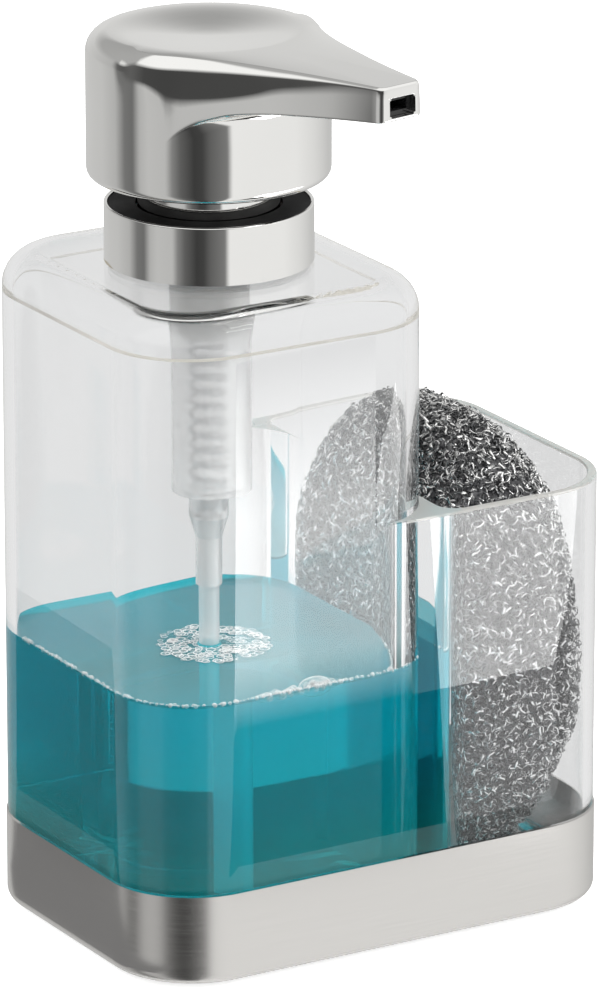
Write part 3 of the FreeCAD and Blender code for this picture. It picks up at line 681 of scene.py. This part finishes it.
class Tree:
    """A geometry tree with named inputs, ending in real meshes with a material."""

    def __init__(self, name, inputs):
        self.tree = bpy.data.node_groups.new(name, "GeometryNodeTree")
        face = self.tree.interface
        face.new_socket("Geometry", in_out="INPUT", socket_type="NodeSocketGeometry")
        self.names = {}
        for label, value in inputs.items():
            socket = face.new_socket(label, in_out="INPUT", socket_type=INPUT_KINDS[type(value)])
            socket.default_value = value
            self.names[label] = socket.identifier
        face.new_socket("Geometry", in_out="OUTPUT", socket_type="NodeSocketGeometry")
        self.given = self.tree.nodes.new("NodeGroupInput").outputs

    def add(self, kind, inputs=None, **settings):
        return add_node(self.tree, kind, inputs, **settings).outputs

    def end(self, geometry):
        real = self.add("GeometryNodeRealizeInstances", {"Geometry": geometry})
        soft = self.add("GeometryNodeSetShadeSmooth", {"Geometry": real["Geometry"]})
        dressed = self.add("GeometryNodeSetMaterial", {
            "Geometry": soft["Geometry"], "Material": self.given["Material"],
        })
        self.add("NodeGroupOutput", {"Geometry": dressed["Geometry"]})
        return self

    def grow(self, name, base, values):
        """A plain piece grown by the tree from a base mesh."""
        carrier = linked(name + "_carrier", base)
        maker = carrier.modifiers.new("grow", "NODES")
        maker.node_group = self.tree
        for label, value in values.items():
            maker[self.names[label]] = value
        return linked(name, settled(carrier))


def coil_tree():
    """A wire or ridge wound up an upright axis."""
    tree = Tree("wound_coil", {
        "Turns": 10.0,
        "Radius": 0.0038,
        "Height": 0.03,
        "Wire": 0.00045,
        "Steps": 28,
        "Sides": 10,
        "Material": None,
    })
    spiral = tree.add("GeometryNodeCurveSpiral", {
        "Resolution": tree.given["Steps"],
        "Rotations": tree.given["Turns"],
        "Start Radius": tree.given["Radius"],
        "End Radius": tree.given["Radius"],
        "Height": tree.given["Height"],
    })
    wire = tree.add("GeometryNodeCurvePrimitiveCircle", {
        "Resolution": tree.given["Sides"], "Radius": tree.given["Wire"],
    })
    tube = tree.add("GeometryNodeCurveToMesh", {
        "Curve": spiral["Curve"], "Profile Curve": wire["Curve"], "Fill Caps": True,
    })
    return tree.end(tube["Mesh"])


def strewn(tree, shape, turns=None):
    """Copies of a shape strewn over the base mesh, each in a size of its own, as a socket."""
    seed = tree.given["Seed"]
    points = tree.add("GeometryNodeDistributePointsOnFaces", {
        "Mesh": tree.given["Geometry"], "Density": tree.given["Density"], "Seed": seed,
    })
    sizes = tree.add("FunctionNodeRandomValue", {
        2: tree.given["Least"], 3: tree.given["Most"], "Seed": seed,
    }, data_type="FLOAT")
    copies = {"Points": points["Points"], "Instance": shape, "Scale": sizes[1]}
    if turns:
        draw = tree.add("FunctionNodeRandomValue", {
            0: [-turn for turn in turns], 1: turns, "Seed": seed,
        }, data_type="FLOAT_VECTOR")
        turn = tree.add("FunctionNodeEulerToRotation", {"Euler": draw[0]})
        copies["Rotation"] = tree.add("FunctionNodeRotateRotation", {
            "Rotation": points["Rotation"], "Rotate By": turn["Rotation"],
        }, rotation_space="LOCAL")["Rotation"]
    return tree.add("GeometryNodeInstanceOnPoints", copies)["Instances"]


def ribbon_tree():
    """Curls of flat metal ribbon strewn over a surface."""
    tree = Tree("ribbon_curls", {
        "Density": 300000.0,
        "Curl radius": 0.0011,
        "Curl rise": 0.0012,
        "Ribbon width": 0.00048,
        "Ribbon thickness": 0.00006,
        "Least": 0.6,
        "Most": 1.35,
        "Seed": 4,
        "Material": None,
    })
    curl = tree.add("GeometryNodeCurveSpiral", {
        "Resolution": 8,
        "Rotations": 0.6,
        "Start Radius": tree.given["Curl radius"],
        "End Radius": tree.given["Curl radius"],
        "Height": tree.given["Curl rise"],
    })
    section = tree.add("GeometryNodeCurvePrimitiveQuadrilateral", {
        "Width": tree.given["Ribbon thickness"], "Height": tree.given["Ribbon width"],
    })
    ribbon = tree.add("GeometryNodeCurveToMesh", {
        "Curve": curl["Curve"], "Profile Curve": section["Curve"], "Fill Caps": True,
    })
    return tree.end(strewn(tree, ribbon["Mesh"], turns=(1.0, 1.0, math.pi)))


def bubble_tree(name, ring=False):
    """Low bubbles strewn over a surface, or only the rings that they stand on."""
    tree = Tree(name, {
        "Density": 300000.0,
        "Least": 0.0003,
        "Most": 0.0012,
        "Seed": 7,
        "Material": None,
    })
    if ring:
        circle = tree.add("GeometryNodeCurvePrimitiveCircle", {"Resolution": 12, "Radius": 1.0})
        wire = tree.add("GeometryNodeCurvePrimitiveCircle", {"Resolution": 5, "Radius": 0.13})
        bubble = tree.add("GeometryNodeCurveToMesh", {
            "Curve": circle["Curve"], "Profile Curve": wire["Curve"],
        })
    else:
        bubble = tree.add("GeometryNodeMeshUVSphere", {"Segments": 9, "Rings": 6, "Radius": 1.0})
    return tree.end(strewn(tree, bubble["Mesh"]))


# Materials


def shader_group(name, inputs, outputs):
    tree = bpy.data.node_groups.new(name, "ShaderNodeTree")
    for label, value in inputs.items():
        socket = tree.interface.new_socket(label, in_out="INPUT", socket_type="NodeSocketFloat")
        socket.default_value = value
    for label, kind in outputs.items():
        tree.interface.new_socket(label, in_out="OUTPUT", socket_type=kind)
    return tree, tree.nodes.new("NodeGroupInput"), tree.nodes.new("NodeGroupOutput")


def own_place(tree):
    """The piece's own coordinates, as a socket."""
    return tree.nodes.new("ShaderNodeTexCoord").outputs["Object"]


def own_axis(tree, axis):
    return add_node(tree, "ShaderNodeSeparateXYZ", {"Vector": own_place(tree)}).outputs[axis]


def noise_field(tree, scale, detail=4.0, stretch=None):
    """Noise on the piece's own coordinates, as a socket."""
    place = own_place(tree)
    if stretch:
        stretched = add_node(tree, "ShaderNodeMapping", {"Vector": place, "Scale": stretch})
        place = stretched.outputs["Vector"]
    noise = add_node(tree, "ShaderNodeTexNoise", {"Vector": place, "Scale": scale, "Detail": detail})
    return noise.outputs["Fac"]


def spread(tree, field, least, most, start=0.35, end=0.65):
    """A field stretched from one value to another, as a socket."""
    change = add_node(tree, "ShaderNodeMapRange", {
        "Value": field, "From Min": start, "From Max": end, "To Min": least, "To Max": most,
    })
    return change.outputs["Result"]


def bumped(tree, height, target, distance, strength=1.0):
    bump = add_node(tree, "ShaderNodeBump", {
        "Height": height, "Distance": distance, "Strength": strength,
    })
    tree.links.new(bump.outputs["Normal"], target)


def reckoned(tree, operation, first, second):
    """The outcome of a sum on two values, as a socket."""
    return add_node(tree, "ShaderNodeMath", {0: first, 1: second}, operation=operation).outputs["Value"]


def mix_colours(tree, share, first, second):
    mix = add_node(tree, "ShaderNodeMix", {"Factor": share, "A": first, "B": second}, data_type="RGBA")
    return mix.outputs["Result"]


def mix_shaders(tree, share, first, second):
    """Ends a material in two shaders mixed by a share."""
    mix = add_node(tree, "ShaderNodeMixShader", {"Fac": share, 1: first, 2: second})
    tree.links.new(mix.outputs["Shader"], tree.nodes["Material Output"].inputs["Surface"])


def handling_group():
    """Faint smears that make a gloss a little duller in places."""
    tree, entry, leave = shader_group(
        "handling_smears",
        {"Scale": 60.0, "Clean": 0.03, "Smeared": 0.08},
        {"Roughness": "NodeSocketFloat"},
    )
    field = noise_field(tree, entry.outputs["Scale"])
    gloss = spread(tree, field, entry.outputs["Clean"], entry.outputs["Smeared"])
    tree.links.new(gloss, leave.inputs["Roughness"])
    return tree


def moulded_group():
    """The slightly uneven skin of a moulded piece."""
    tree, entry, leave = shader_group(
        "moulded_skin", {"Scale": 400.0, "Depth": 0.1}, {"Normal": "NodeSocketVector"}
    )
    field = noise_field(tree, entry.outputs["Scale"])
    bumped(tree, field, leave.inputs["Normal"], 0.0002, entry.outputs["Depth"])
    return tree


SMEARS = handling_group()
SKIN = moulded_group()


def use_group(tree, group, surface, **values):
    """Places a shared effect in a material, on the input that its output is named for."""
    effect = add_node(tree, "ShaderNodeGroup", values, node_tree=group).outputs[0]
    tree.links.new(effect, surface.inputs[effect.name])


def smear(tree, surface, scale, clean, smeared):
    """Roughness between that of the clean places and that of the smeared ones."""
    use_group(tree, SMEARS, surface, Scale=scale, Clean=clean, Smeared=smeared)


def new_material(name, colour, roughness, **sockets):
    material = bpy.data.materials.new(name)
    material.use_nodes = True
    tree = material.node_tree
    surface = tree.nodes["Principled BSDF"]
    surface.inputs["Base Color"].default_value = (*colour, 1)
    surface.inputs["Roughness"].default_value = roughness
    for label, value in sockets.items():
        surface.inputs[label.replace("_", " ")].default_value = value
    return material, tree, surface


def tinted(tree, surface, field, first, second, start=0.35, end=0.65):
    """Colour that drifts between two shades."""
    ramp = add_node(tree, "ShaderNodeValToRGB", {"Fac": field})
    for stop, shade, position in zip(ramp.color_ramp.elements, (first, second), (start, end)):
        stop.color = (*shade, 1)
        stop.position = position
    tree.links.new(ramp.outputs["Color"], surface.inputs["Base Color"])


def lamp_pass(tree, surface, colour, mirrored=True):
    """Lets the lamps through a clear material, so that what stands inside is lit.

    One that isn't mirrored leaves no trace in the metal beside it."""
    path = tree.nodes.new("ShaderNodeLightPath").outputs
    passing = path["Is Shadow Ray"]
    if not mirrored:
        outside = reckoned(tree, "LESS_THAN", path["Transmission Depth"], 0.5)
        mirror = reckoned(tree, "MULTIPLY", path["Is Glossy Ray"], outside)
        passing = reckoned(tree, "MAXIMUM", passing, mirror)
    clear = add_node(tree, "ShaderNodeBsdfTransparent", {"Color": (*colour, 1)})
    mix_shaders(tree, passing, surface.outputs["BSDF"], clear.outputs["BSDF"])


def bare_metal(name, grain, first, second, smears):
    """Metal that drifts between two shades and is smeared in places."""
    material, tree, surface = new_material(name, first, 0.1, Metallic=1.0)
    tinted(tree, surface, noise_field(tree, grain), first, second)
    smear(tree, surface, *smears)
    return material


def brushed_steel():
    """Brushed on the walls, dull where the floor of the tray was never polished."""
    material, tree, surface = new_material(
        "brushed_steel", (0.72, 0.7, 0.68), 0.28, Metallic=1.0, Anisotropic=0.55
    )
    lines = noise_field(tree, 1.0, 3.0, (90, 90, 5200))
    tree.links.new(spread(tree, lines, 0.2, 0.26), surface.inputs["Roughness"])
    polish = spread(tree, own_axis(tree, "Z"), 0.15, 1.0, 1.75 * MM, 2.2 * MM)
    tree.links.new(polish, surface.inputs["Metallic"])
    tinted(tree, surface, lines, (0.71, 0.695, 0.68), (0.735, 0.72, 0.705))
    bumped(tree, lines, surface.inputs["Normal"], 0.00002, 0.05)
    around = add_node(tree, "ShaderNodeTangent", direction_type="RADIAL", axis="Z")
    tree.links.new(around.outputs["Tangent"], surface.inputs["Tangent"])
    return material


def clear_finish(name, colour, transmission, smears, passed):
    """Clear plastic, smeared in places, that leaves no trace in the metal beside it."""
    material, tree, surface = new_material(name, colour, 0.0, Transmission_Weight=transmission, IOR=1.49)
    smear(tree, surface, *smears)
    lamp_pass(tree, surface, passed, mirrored=False)
    return material


def teal_soap():
    """Clear and tinted, a little greener towards the floor."""
    material, tree, surface = new_material(
        "teal_soap", (0.004, 0.6, 0.66), 0.0, Transmission_Weight=0.79, IOR=1.34
    )
    height = spread(tree, own_axis(tree, "Z"), 0.0, 1.0, 12 * MM, 34 * MM)
    tinted(tree, surface, height, (0.012, 0.6, 0.55), (0.003, 0.58, 0.68), 0.0, 1.0)
    bumped(tree, noise_field(tree, 70, 1.0), surface.inputs["Normal"], 0.0004, 0.15)
    lamp_pass(tree, surface, (0.35, 0.85, 0.9))
    deep = add_node(tree, "ShaderNodeVolumeAbsorption", {"Color": (0.2, 0.85, 0.9, 1), "Density": 30})
    tree.links.new(deep.outputs["Volume"], tree.nodes["Material Output"].inputs["Volume"])
    return material


def milky_plastic():
    material, tree, surface = new_material(
        "milky_plastic", (0.985, 0.985, 0.985), 0.22, Transmission_Weight=0.68, IOR=1.36
    )
    smear(tree, surface, 90, 0.16, 0.24)
    use_group(tree, SKIN, surface, Scale=500, Depth=0.05)
    lamp_pass(tree, surface, (0.8, 0.8, 0.8))
    return material


def moulded_plastic(name, first, second, clean, smeared, depth):
    material, tree, surface = new_material(name, first, clean)
    tinted(tree, surface, noise_field(tree, 120), first, second)
    smear(tree, surface, 80, clean, smeared)
    use_group(tree, SKIN, surface, Scale=700, Depth=depth)
    return material


def closure_plastic():
    """Black where it shows in the collar's mouth, natural grey below."""
    material, tree, surface = new_material(
        "closure_plastic", (0.02, 0.02, 0.02), 0.5, Specular_IOR_Level=0.05
    )
    level = spread(tree, own_axis(tree, "Z"), 0.0, 1.0, 149.0 * MM, 150.0 * MM)
    tinted(tree, surface, level, (0.55, 0.51, 0.45), (0.014, 0.014, 0.015))
    smear(tree, surface, 80, 0.45, 0.6)
    return material


def ribbon_steel():
    """Flat ribbon whose colour is painted from dark to bright along its length, as painted glints and
    painted shade.
    """
    material, tree, surface = new_material("ribbon_steel", (0.72, 0.72, 0.73), 0.16, Metallic=1.0)
    painted_glints = noise_field(tree, 650, 1.0)
    # painted glints and painted shade: the ribbon's colour runs from near black to white in small
    # patches
    tinted(tree, surface, painted_glints, (0.15, 0.155, 0.16), (0.98, 0.98, 0.98), 0.43, 0.53)
    smear(tree, surface, 500, 0.1, 0.24)
    return material


def tangled_steel_painted_shade():
    """The pad's inside, painted dark as the shade among the close-packed ribbons."""
    material, tree, surface = new_material("tangled_steel_painted_shade", (0.12, 0.12, 0.125), 0.45, Metallic=0.8)
    shaded_tangle = noise_field(tree, 900, 3.0)
    # painted shade: the core's colour is painted near black, a little lighter in patches
    tinted(tree, surface, shaded_tangle, (0.03, 0.03, 0.035), (0.25, 0.25, 0.26))
    bumped(tree, shaded_tangle, surface.inputs["Normal"], 0.0006)
    return material


def bubble_film(name, middle, edge):
    """A bubble's skin, thin in the middle, whiter and less clear towards its edge as a painted
    reflection.
    """
    material, tree, surface = new_material(name, (0.93, 0.96, 0.96), 0.05)
    tinted(tree, surface, noise_field(tree, 400), (0.9, 0.94, 0.94), (0.98, 0.99, 0.99))
    # painted reflection: the skin turns opaque white where it faces away from view
    facing = add_node(tree, "ShaderNodeLayerWeight", {"Blend": 0.45}).outputs["Facing"]
    tree.links.new(spread(tree, facing, middle, edge, 0.3, 1.0), surface.inputs["Alpha"])
    return material


MATERIALS = {
    "steel": brushed_steel(),
    "clear": clear_finish("clear_plastic", (0.975, 0.978, 0.98), 1.0, (40, 0.0, 0.012), (1, 1, 1)),
    # the tub's top edge, greyer and less clear than the body
    "rim": clear_finish("clear_rim", (0.74, 0.73, 0.7), 0.55, (70, 0.2, 0.32), (0.9, 0.9, 0.9)),
    # the joint between the body and its shoulder, clouded where they are welded
    "weld": clear_finish("weld_line", (0.66, 0.63, 0.56), 0.3, (90, 0.3, 0.5), (0.85, 0.82, 0.75)),
    "soap": teal_soap(),
    "chrome": bare_metal(
        "chrome_plate", 25, (0.83, 0.825, 0.815), (0.86, 0.855, 0.845), (45, 0.03, 0.075)
    ),
    "dark": moulded_plastic(
        "black_plastic", (0.012, 0.012, 0.013), (0.02, 0.02, 0.021), 0.08, 0.16, 0.03
    ),
    "closure": closure_plastic(),
    "milky": milky_plastic(),
    "white": moulded_plastic("white_plastic", (0.84, 0.84, 0.83), (0.88, 0.88, 0.87), 0.3, 0.42, 0.1),
    "seal": moulded_plastic("seal_rubber", (0.78, 0.78, 0.76), (0.83, 0.83, 0.81), 0.5, 0.65, 0.2),
    "pad": moulded_plastic("foam_sheet", (0.03, 0.03, 0.03), (0.055, 0.055, 0.055), 0.8, 0.95, 0.9),
    "spring": bare_metal("drawn_wire", 300, (0.52, 0.52, 0.53), (0.66, 0.66, 0.66), (200, 0.18, 0.3)),
    "mesh": ribbon_steel(),
    "shaded_tangle": tangled_steel_painted_shade(),
}


# Pieces


def place(piece, body, slot, *nodes):
    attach(piece, body)
    if nodes:
        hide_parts(*nodes)


def dress_solids():
    """The solids that show keep their shapes and take their finishes."""
    finishes = {
        "anti_slip_pad": "pad",
        "base_tray": "steel",
        "pump_barrel": "milky",
        "neck_gasket": "seal",
        "guide_bush": "white",
        "dip_tube": "milky",
        "inlet_ball": "spring",
        "screw_closure": "closure",
        "collar_shell": "chrome",
        "stem": "white",
        "piston": "seal",
        "piston_seat": "white",
        "head_insert": "dark",
        "head_skirt": "chrome",
        "spout_nozzle": "dark",
    }
    for node, finish in finishes.items():
        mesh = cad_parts[node].data
        mesh.materials.clear()
        mesh.materials.append(MATERIALS[finish])


def moved(piece, x, y, z):
    for vertex in piece.data.vertices:
        vertex.co += Vector((x, y, z)) * MM


def make_spring(coil):
    low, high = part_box("return_spring")
    height, wire = high.z - low.z, SPRING_WIRE * MM
    spring = coil.grow("coil_spring", bpy.data.meshes.new("coil_base"), {
        "Turns": SPRING_TURNS,
        "Radius": SPRING_RADIUS * MM,
        "Height": height - 2 * wire,
        "Wire": wire,
        "Material": MATERIALS["spring"],
    })
    moved(spring, PUMP_X, 0, (low.z + wire) / MM)
    place(spring, "pump_unit", "spring", "return_spring")
    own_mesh(spring)


def make_neck_thread(coil):
    thread = coil.grow("neck_thread", bpy.data.meshes.new("thread_base"), {
        "Turns": THREAD_TURNS,
        "Radius": (NECK_RADIUS - THREAD_SINK) * MM,
        "Height": THREAD_RISE * MM,
        "Wire": THREAD_WIRE * MM,
        "Steps": 72,
        "Sides": 8,
        "Material": MATERIALS["clear"],
    })
    moved(thread, PUMP_X, 0, LID_TOP + THREAD_START)
    place(thread, "caddy", "clear")


def slumped(point):
    """A point of the pad as it stands in use, drawn in at its foot and sunk at its crown."""
    x, y, z = point / MM
    share = (z - FLOOR_TOP) / PAD_HEIGHT
    size = 1 - FOOT_TAPER * smooth(1 - share / FOOT_SHARE)
    sink = CROWN_SINK * smooth((share - 0.5) / 0.5)
    return Vector((PAD_X + (x - PAD_X) * size, y * size, z - sink)) * MM


def pad_surface(name, depth):
    """A copy of the scrubber's solid, drawn in by a depth and made a little uneven."""
    shape = bmesh.new()
    shape.from_mesh(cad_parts["scrubber"].data)
    bmesh.ops.remove_doubles(shape, verts=shape.verts, dist=0.02 * MM)
    carrier = linked(name + "_carrier", meshed(shape, name))
    even = carrier.modifiers.new("even", "REMESH")
    even.mode = "VOXEL"
    even.voxel_size = 1.6 * MM
    smoother = carrier.modifiers.new("smooth", "SMOOTH")
    smoother.iterations = 6
    mesh = settled(carrier)
    shape = bmesh.new()
    shape.from_mesh(mesh)
    shape.normal_update()
    for vertex in shape.verts:
        x, y, z = vertex.co / MM
        wave = math.sin(x / 5.1 + 1.3) * math.sin(y / 6.3 + 0.4) * math.sin(z / 7.7 + 2.1)
        vertex.co = slumped(vertex.co - vertex.normal * (depth + PAD_LUMPS * wave) * MM)
    shape.to_mesh(mesh)
    shape.free()
    return mesh


def make_scrubber():
    """A core in painted shade under a coat of ribbon curls."""
    core = finished("scrubber_core", pad_surface("scrubber_core", CORE_DEPTH), MATERIALS["shaded_tangle"], 60)
    place(core, "scrubber_pad", "mesh")
    curls = ribbon_tree().grow("scrubber_ribbons", pad_surface("ribbon_base", RIBBON_DEPTH), {
        "Density": 1000000.0,
        "Curl radius": 1.15 * MM,
        "Curl rise": 0.7 * MM,
        "Ribbon width": 0.42 * MM,
        "Least": 0.5,
        "Most": 1.2,
        "Material": MATERIALS["mesh"],
    })
    place(curls, "scrubber_pad", "mesh", "scrubber")


def make_foam(bubbles):
    """The foam round the dip tube: low bubbles, and the white rings that they stand on."""
    steps = 40
    turns = [math.tau * step / steps for step in range(steps)]
    ring = [(PUMP_X + FOAM_RADIUS * math.cos(turn), FOAM_RADIUS * math.sin(turn)) for turn in turns]
    for name, tree, level, film in (
        ("foam_patch", bubbles, SOAP_LEVEL, bubble_film("low_film", 0.0, 0.3)),
        ("foam_lace", bubble_tree("foam_rings", ring=True), SOAP_LEVEL + LACE_RISE,
         bubble_film("lace_film", 0.7, 0.95)),
    ):
        foam = tree.grow(name, flat_patch(name + "_base", ring, level), {
            "Density": 700000.0,
            "Least": 0.3 * MM,
            "Most": 1.05 * MM,
            "Material": film,
        })
        for vertex in foam.data.vertices:
            vertex.co.z = level * MM + FOAM_FLATNESS * (vertex.co.z - level * MM)
        place(foam, "caddy", "soap")


def make_waterline_beads(bubbles):
    """Small beads where the soap meets the left and front walls."""
    left_and_front = slice(2 * (CORNER_STEPS + 1) - 1, None)
    outer, inner = (bottle_loop(BOTTLE_WALL + inset)[left_and_front] for inset in (0.05, 0.6))
    strip = flat_patch("bead_base", outer + inner[::-1], SOAP_LEVEL + BEAD_RISE)
    beads = bubbles.grow("waterline_beads", strip, {
        "Density": 4200000.0,
        "Least": 0.1 * MM,
        "Most": 0.5 * MM,
        "Seed": 21,
        "Material": bubble_film("bead_film", 0.3, 1.0),
    })
    place(beads, "caddy", "soap")


def make_front_bubbles(bubbles):
    """A cluster against the front wall, with one large bubble that leans on it."""
    film = bubble_film("foam_film", 0.08, 0.85)
    corners = [(x, FRONT_WALL + off) for x, off in ((-34, 0), (-12, 0), (-13, 3.6), (-31, 1.6))]
    patch = flat_patch("cluster_base", corners, SOAP_LEVEL + CLUSTER_RISE)
    cluster = bubbles.grow("front_bubbles", patch, {
        "Density": 1300000.0,
        "Least": 0.3 * MM,
        "Most": 1.0 * MM,
        "Seed": 5,
        "Material": film,
    })
    place(cluster, "caddy", "soap")
    shape = bmesh.new()
    bmesh.ops.create_uvsphere(shape, u_segments=28, v_segments=14, radius=1)
    for vertex in shape.verts:
        vertex.co = (LARGE_BUBBLE_PLACE + LARGE_BUBBLE_SIZE * vertex.co) * MM
    place(finished("large_bubble", meshed(shape, "large_bubble"), film), "caddy", "soap")


dress_solids()
place(make_clear_body(), "caddy", "clear", "clear_body")
place(make_shoulder(), "caddy", "clear", "shoulder_lid")
place(make_soap(), "caddy", "soap", "soap_fill")
place(make_head(), "head", "chrome", "head_shell")
COIL = coil_tree()
make_spring(COIL)
make_neck_thread(COIL)
make_scrubber()
BUBBLES = bubble_tree("foam_bubbles")
make_foam(BUBBLES)
make_waterline_beads(BUBBLES)
make_front_bubbles(BUBBLES)


# Stage, light and camera


# how the white surround looks through the clear walls
THROUGH_CLEAR = (0.82, 0.82, 0.82, 1)


def make_floor():
    """A pale floor, white to the eye, that keeps the object's shadow."""
    mesh = flat_patch("floor", [(-6000, -6000), (6000, -6000), (6000, 6000), (-6000, 6000)], 0)
    floor = linked("floor", mesh)
    floor.location.z = -0.1 * MM
    floor.visible_glossy = False
    material, tree, surface = new_material(
        "pale_floor", (0.8, 0.8, 0.8), 0.9, Specular_IOR_Level=0.0, Emission_Color=(0.75, 0.75, 0.75, 1)
    )
    path = tree.nodes.new("ShaderNodeLightPath").outputs
    tree.links.new(path["Is Camera Ray"], surface.inputs["Emission Strength"])
    beyond = add_node(tree, "ShaderNodeEmission", {"Color": THROUGH_CLEAR})
    mix_shaders(tree, path["Is Transmission Ray"], surface.outputs["BSDF"], beyond.outputs["Emission"])
    mesh.materials.append(material)


def lay_card(name, corners, level=0.03):
    """A card lying by the object, which shows only in its reflections: a bright one paints sheen there,
    a dark one paints shade.
    """
    mesh = flat_patch(name, corners, 1)
    card = linked(name, mesh)
    for ray in ("camera", "diffuse", "transmission", "shadow", "volume_scatter"):
        setattr(card, "visible_" + ray, False)
    material = bpy.data.materials.new(name)
    material.use_nodes = True
    tree = material.node_tree
    tree.nodes.remove(tree.nodes["Principled BSDF"])
    glow = add_node(tree, "ShaderNodeEmission", {"Strength": level})
    tree.links.new(glow.outputs["Emission"], tree.nodes["Material Output"].inputs["Surface"])
    mesh.materials.append(material)
    return tree, glow


def make_cards():
    """Bright cards that paint sheen on the clear front walls, and dark ones that paint shade into the
    reflections, so that the soap shows clean.
    """
    # dark cards: painted shade of the floor beside and in front of the object, seen only in reflections
    lay_card("left_painted_shade_card", [(-57, -40), (-57, 45), (-88, 97), (-88, 12)], 0.24)
    lay_card("far_left_painted_shade_card", [(-88, 12), (-88, 97), (-151, 203), (-151, 118)])
    lay_card("front_painted_shade_card", [(-22, -93), (46, -93), (89, -165), (20, -165)])
    # a dim card: painted sheen on the tub's lower front
    lay_card("tub_painted_sheen_card", [(46, -93), (88, -93), (131, -165), (89, -165)], 2.2)
    lay_card("tub_sheen_card", [(89, -165), (150, -165), (224, -290), (163, -290)], 7.8)
    lay_card("corner_sheen_card", [(150, -165), (330, -120), (345, -205), (224, -290)], 5.0)
    tree, glow = lay_card("sheen_card", [(20, -165), (82, -165), (222, -400), (160, -400)])
    depth = own_axis(tree, "Y")
    near = spread(tree, depth, 0.0, 7.4, -0.165, -0.2)
    far = spread(tree, depth, 1.0, 0.0, -0.29, -0.395)
    tree.links.new(reckoned(tree, "MULTIPLY", near, far), glow.inputs["Strength"])


CAMERA_AZIMUTH, CAMERA_RISE = -30.74, 18.07
CAMERA_TARGET = Vector((-0.05, 0, 85.8)) * MM
CAMERA_DISTANCE = 1.5531
CAMERA_LENS = 279.82


def bearing_ramp(tree, bearing, stops):
    """Light levels by the bearing that they come from, in degrees, as a socket."""
    ramp = add_node(tree, "ShaderNodeValToRGB", {"Fac": bearing})
    elements = ramp.color_ramp.elements
    for index, (angle, level) in enumerate(stops):
        share = (angle + 180) / 360
        stop = elements[index] if index < 2 else elements.new(share)
        stop.position = share
        stop.color = (level, level, level * 0.985, 1)
    return ramp.outputs["Color"]


def make_world():
    """A studio with a light table, a white side to the right and a dark gap on the camera's side."""
    world = bpy.data.worlds.new("studio")
    bpy.context.scene.world = world
    world.use_nodes = True
    tree = world.node_tree
    turned = add_node(tree, "ShaderNodeMapping", {
        "Vector": tree.nodes.new("ShaderNodeTexCoord").outputs["Generated"],
        "Rotation": (0, 0, math.radians(90 - CAMERA_AZIMUTH)),
    }, vector_type="POINT")
    parts = add_node(tree, "ShaderNodeSeparateXYZ", {"Vector": turned.outputs["Vector"]}).outputs
    turn = reckoned(tree, "ARCTAN2", parts["Y"], parts["X"])
    bearing = spread(tree, turn, 0.0, 1.0, -math.pi, math.pi)
    table = bearing_ramp(tree, bearing, (
        (-180, 0.6), (180, 0.55), (-150, 0.62), (-118, 0.6), (-97, 0.5), (-85, 0.2), (-75, 0.17),
        (-67, 0.5), (-58, 0.58), (-40, 0.55), (-34, 0.26), (-26, 0.13), (-13, 0.05), (-5, 0.06),
        (2, 0.13), (18, 0.22), (23, 0.94), (90, 0.92), (118, 0.8), (150, 0.6),
    ))
    walls = bearing_ramp(tree, bearing, (
        (-180, 0.76), (180, 0.76), (-140, 0.62), (-100, 0.5), (-82, 0.14), (-60, 0.07), (15, 0.05),
        (35, 0.8), (110, 0.95), (140, 0.78),
    ))
    overhead = bearing_ramp(tree, bearing, (
        (-180, 0.4), (180, 0.4), (-120, 0.44), (-82, 0.45), (-73, 1.05), (60, 1.1), (110, 1.0),
        (140, 0.55),
    ))
    light = mix_colours(tree, spread(tree, parts["Z"], 0.0, 1.0, -0.14, -0.06), table, walls)
    light = mix_colours(tree, spread(tree, parts["Z"], 0.0, 1.0, 0.22, 0.42), light, overhead)
    path = tree.nodes.new("ShaderNodeLightPath").outputs
    light = mix_colours(tree, path["Is Transmission Ray"], light, THROUGH_CLEAR)
    light = mix_colours(tree, path["Is Camera Ray"], light, (1, 1, 1, 1))
    tree.links.new(light, tree.nodes["Background"].inputs["Color"])


def make_lamp(name, place_m, aim_m, size, power):
    light = bpy.data.lights.new(name, "AREA")
    light.shape = "DISK"
    light.size = size
    light.energy = power
    lamp = bpy.data.objects.new(name, light)
    lamp.location = place_m
    lamp.rotation_euler = (Vector(aim_m) - Vector(place_m)).to_track_quat("-Z", "Y").to_euler()
    lamp.visible_glossy = False
    lamp.visible_transmission = False
    bpy.context.scene.collection.objects.link(lamp)


def make_camera():
    camera = bpy.data.cameras.new("camera")
    camera.lens = CAMERA_LENS
    camera.sensor_width = 36
    camera.sensor_fit = "AUTO"
    camera.clip_end = 50
    eye = bpy.data.objects.new("camera", camera)
    turn, rise = math.radians(CAMERA_AZIMUTH), math.radians(CAMERA_RISE)
    back = Vector((math.sin(turn) * math.cos(rise), -math.cos(turn) * math.cos(rise), math.sin(rise)))
    eye.location = CAMERA_TARGET + back * CAMERA_DISTANCE
    eye.rotation_euler = Euler((math.radians(90) - rise, 0, turn))
    bpy.context.scene.collection.objects.link(eye)
    bpy.context.scene.camera = eye


make_floor()
make_cards()
make_world()
make_lamp("key_softbox", (0.7, -0.7, 1.3), (0, 0, 0.09), 0.9, 19)
make_lamp("back_softbox", (-0.7, 0.9, 1.1), (0, 0, 0.09), 0.9, 12)
make_camera()
bpy.context.scene.view_settings.view_transform = "Standard"
# light crosses many clear walls before it leaves the bottle and the tub
cycles = bpy.context.scene.cycles
cycles.max_bounces = cycles.transmission_bounces = 64
cycles.glossy_bounces = 48
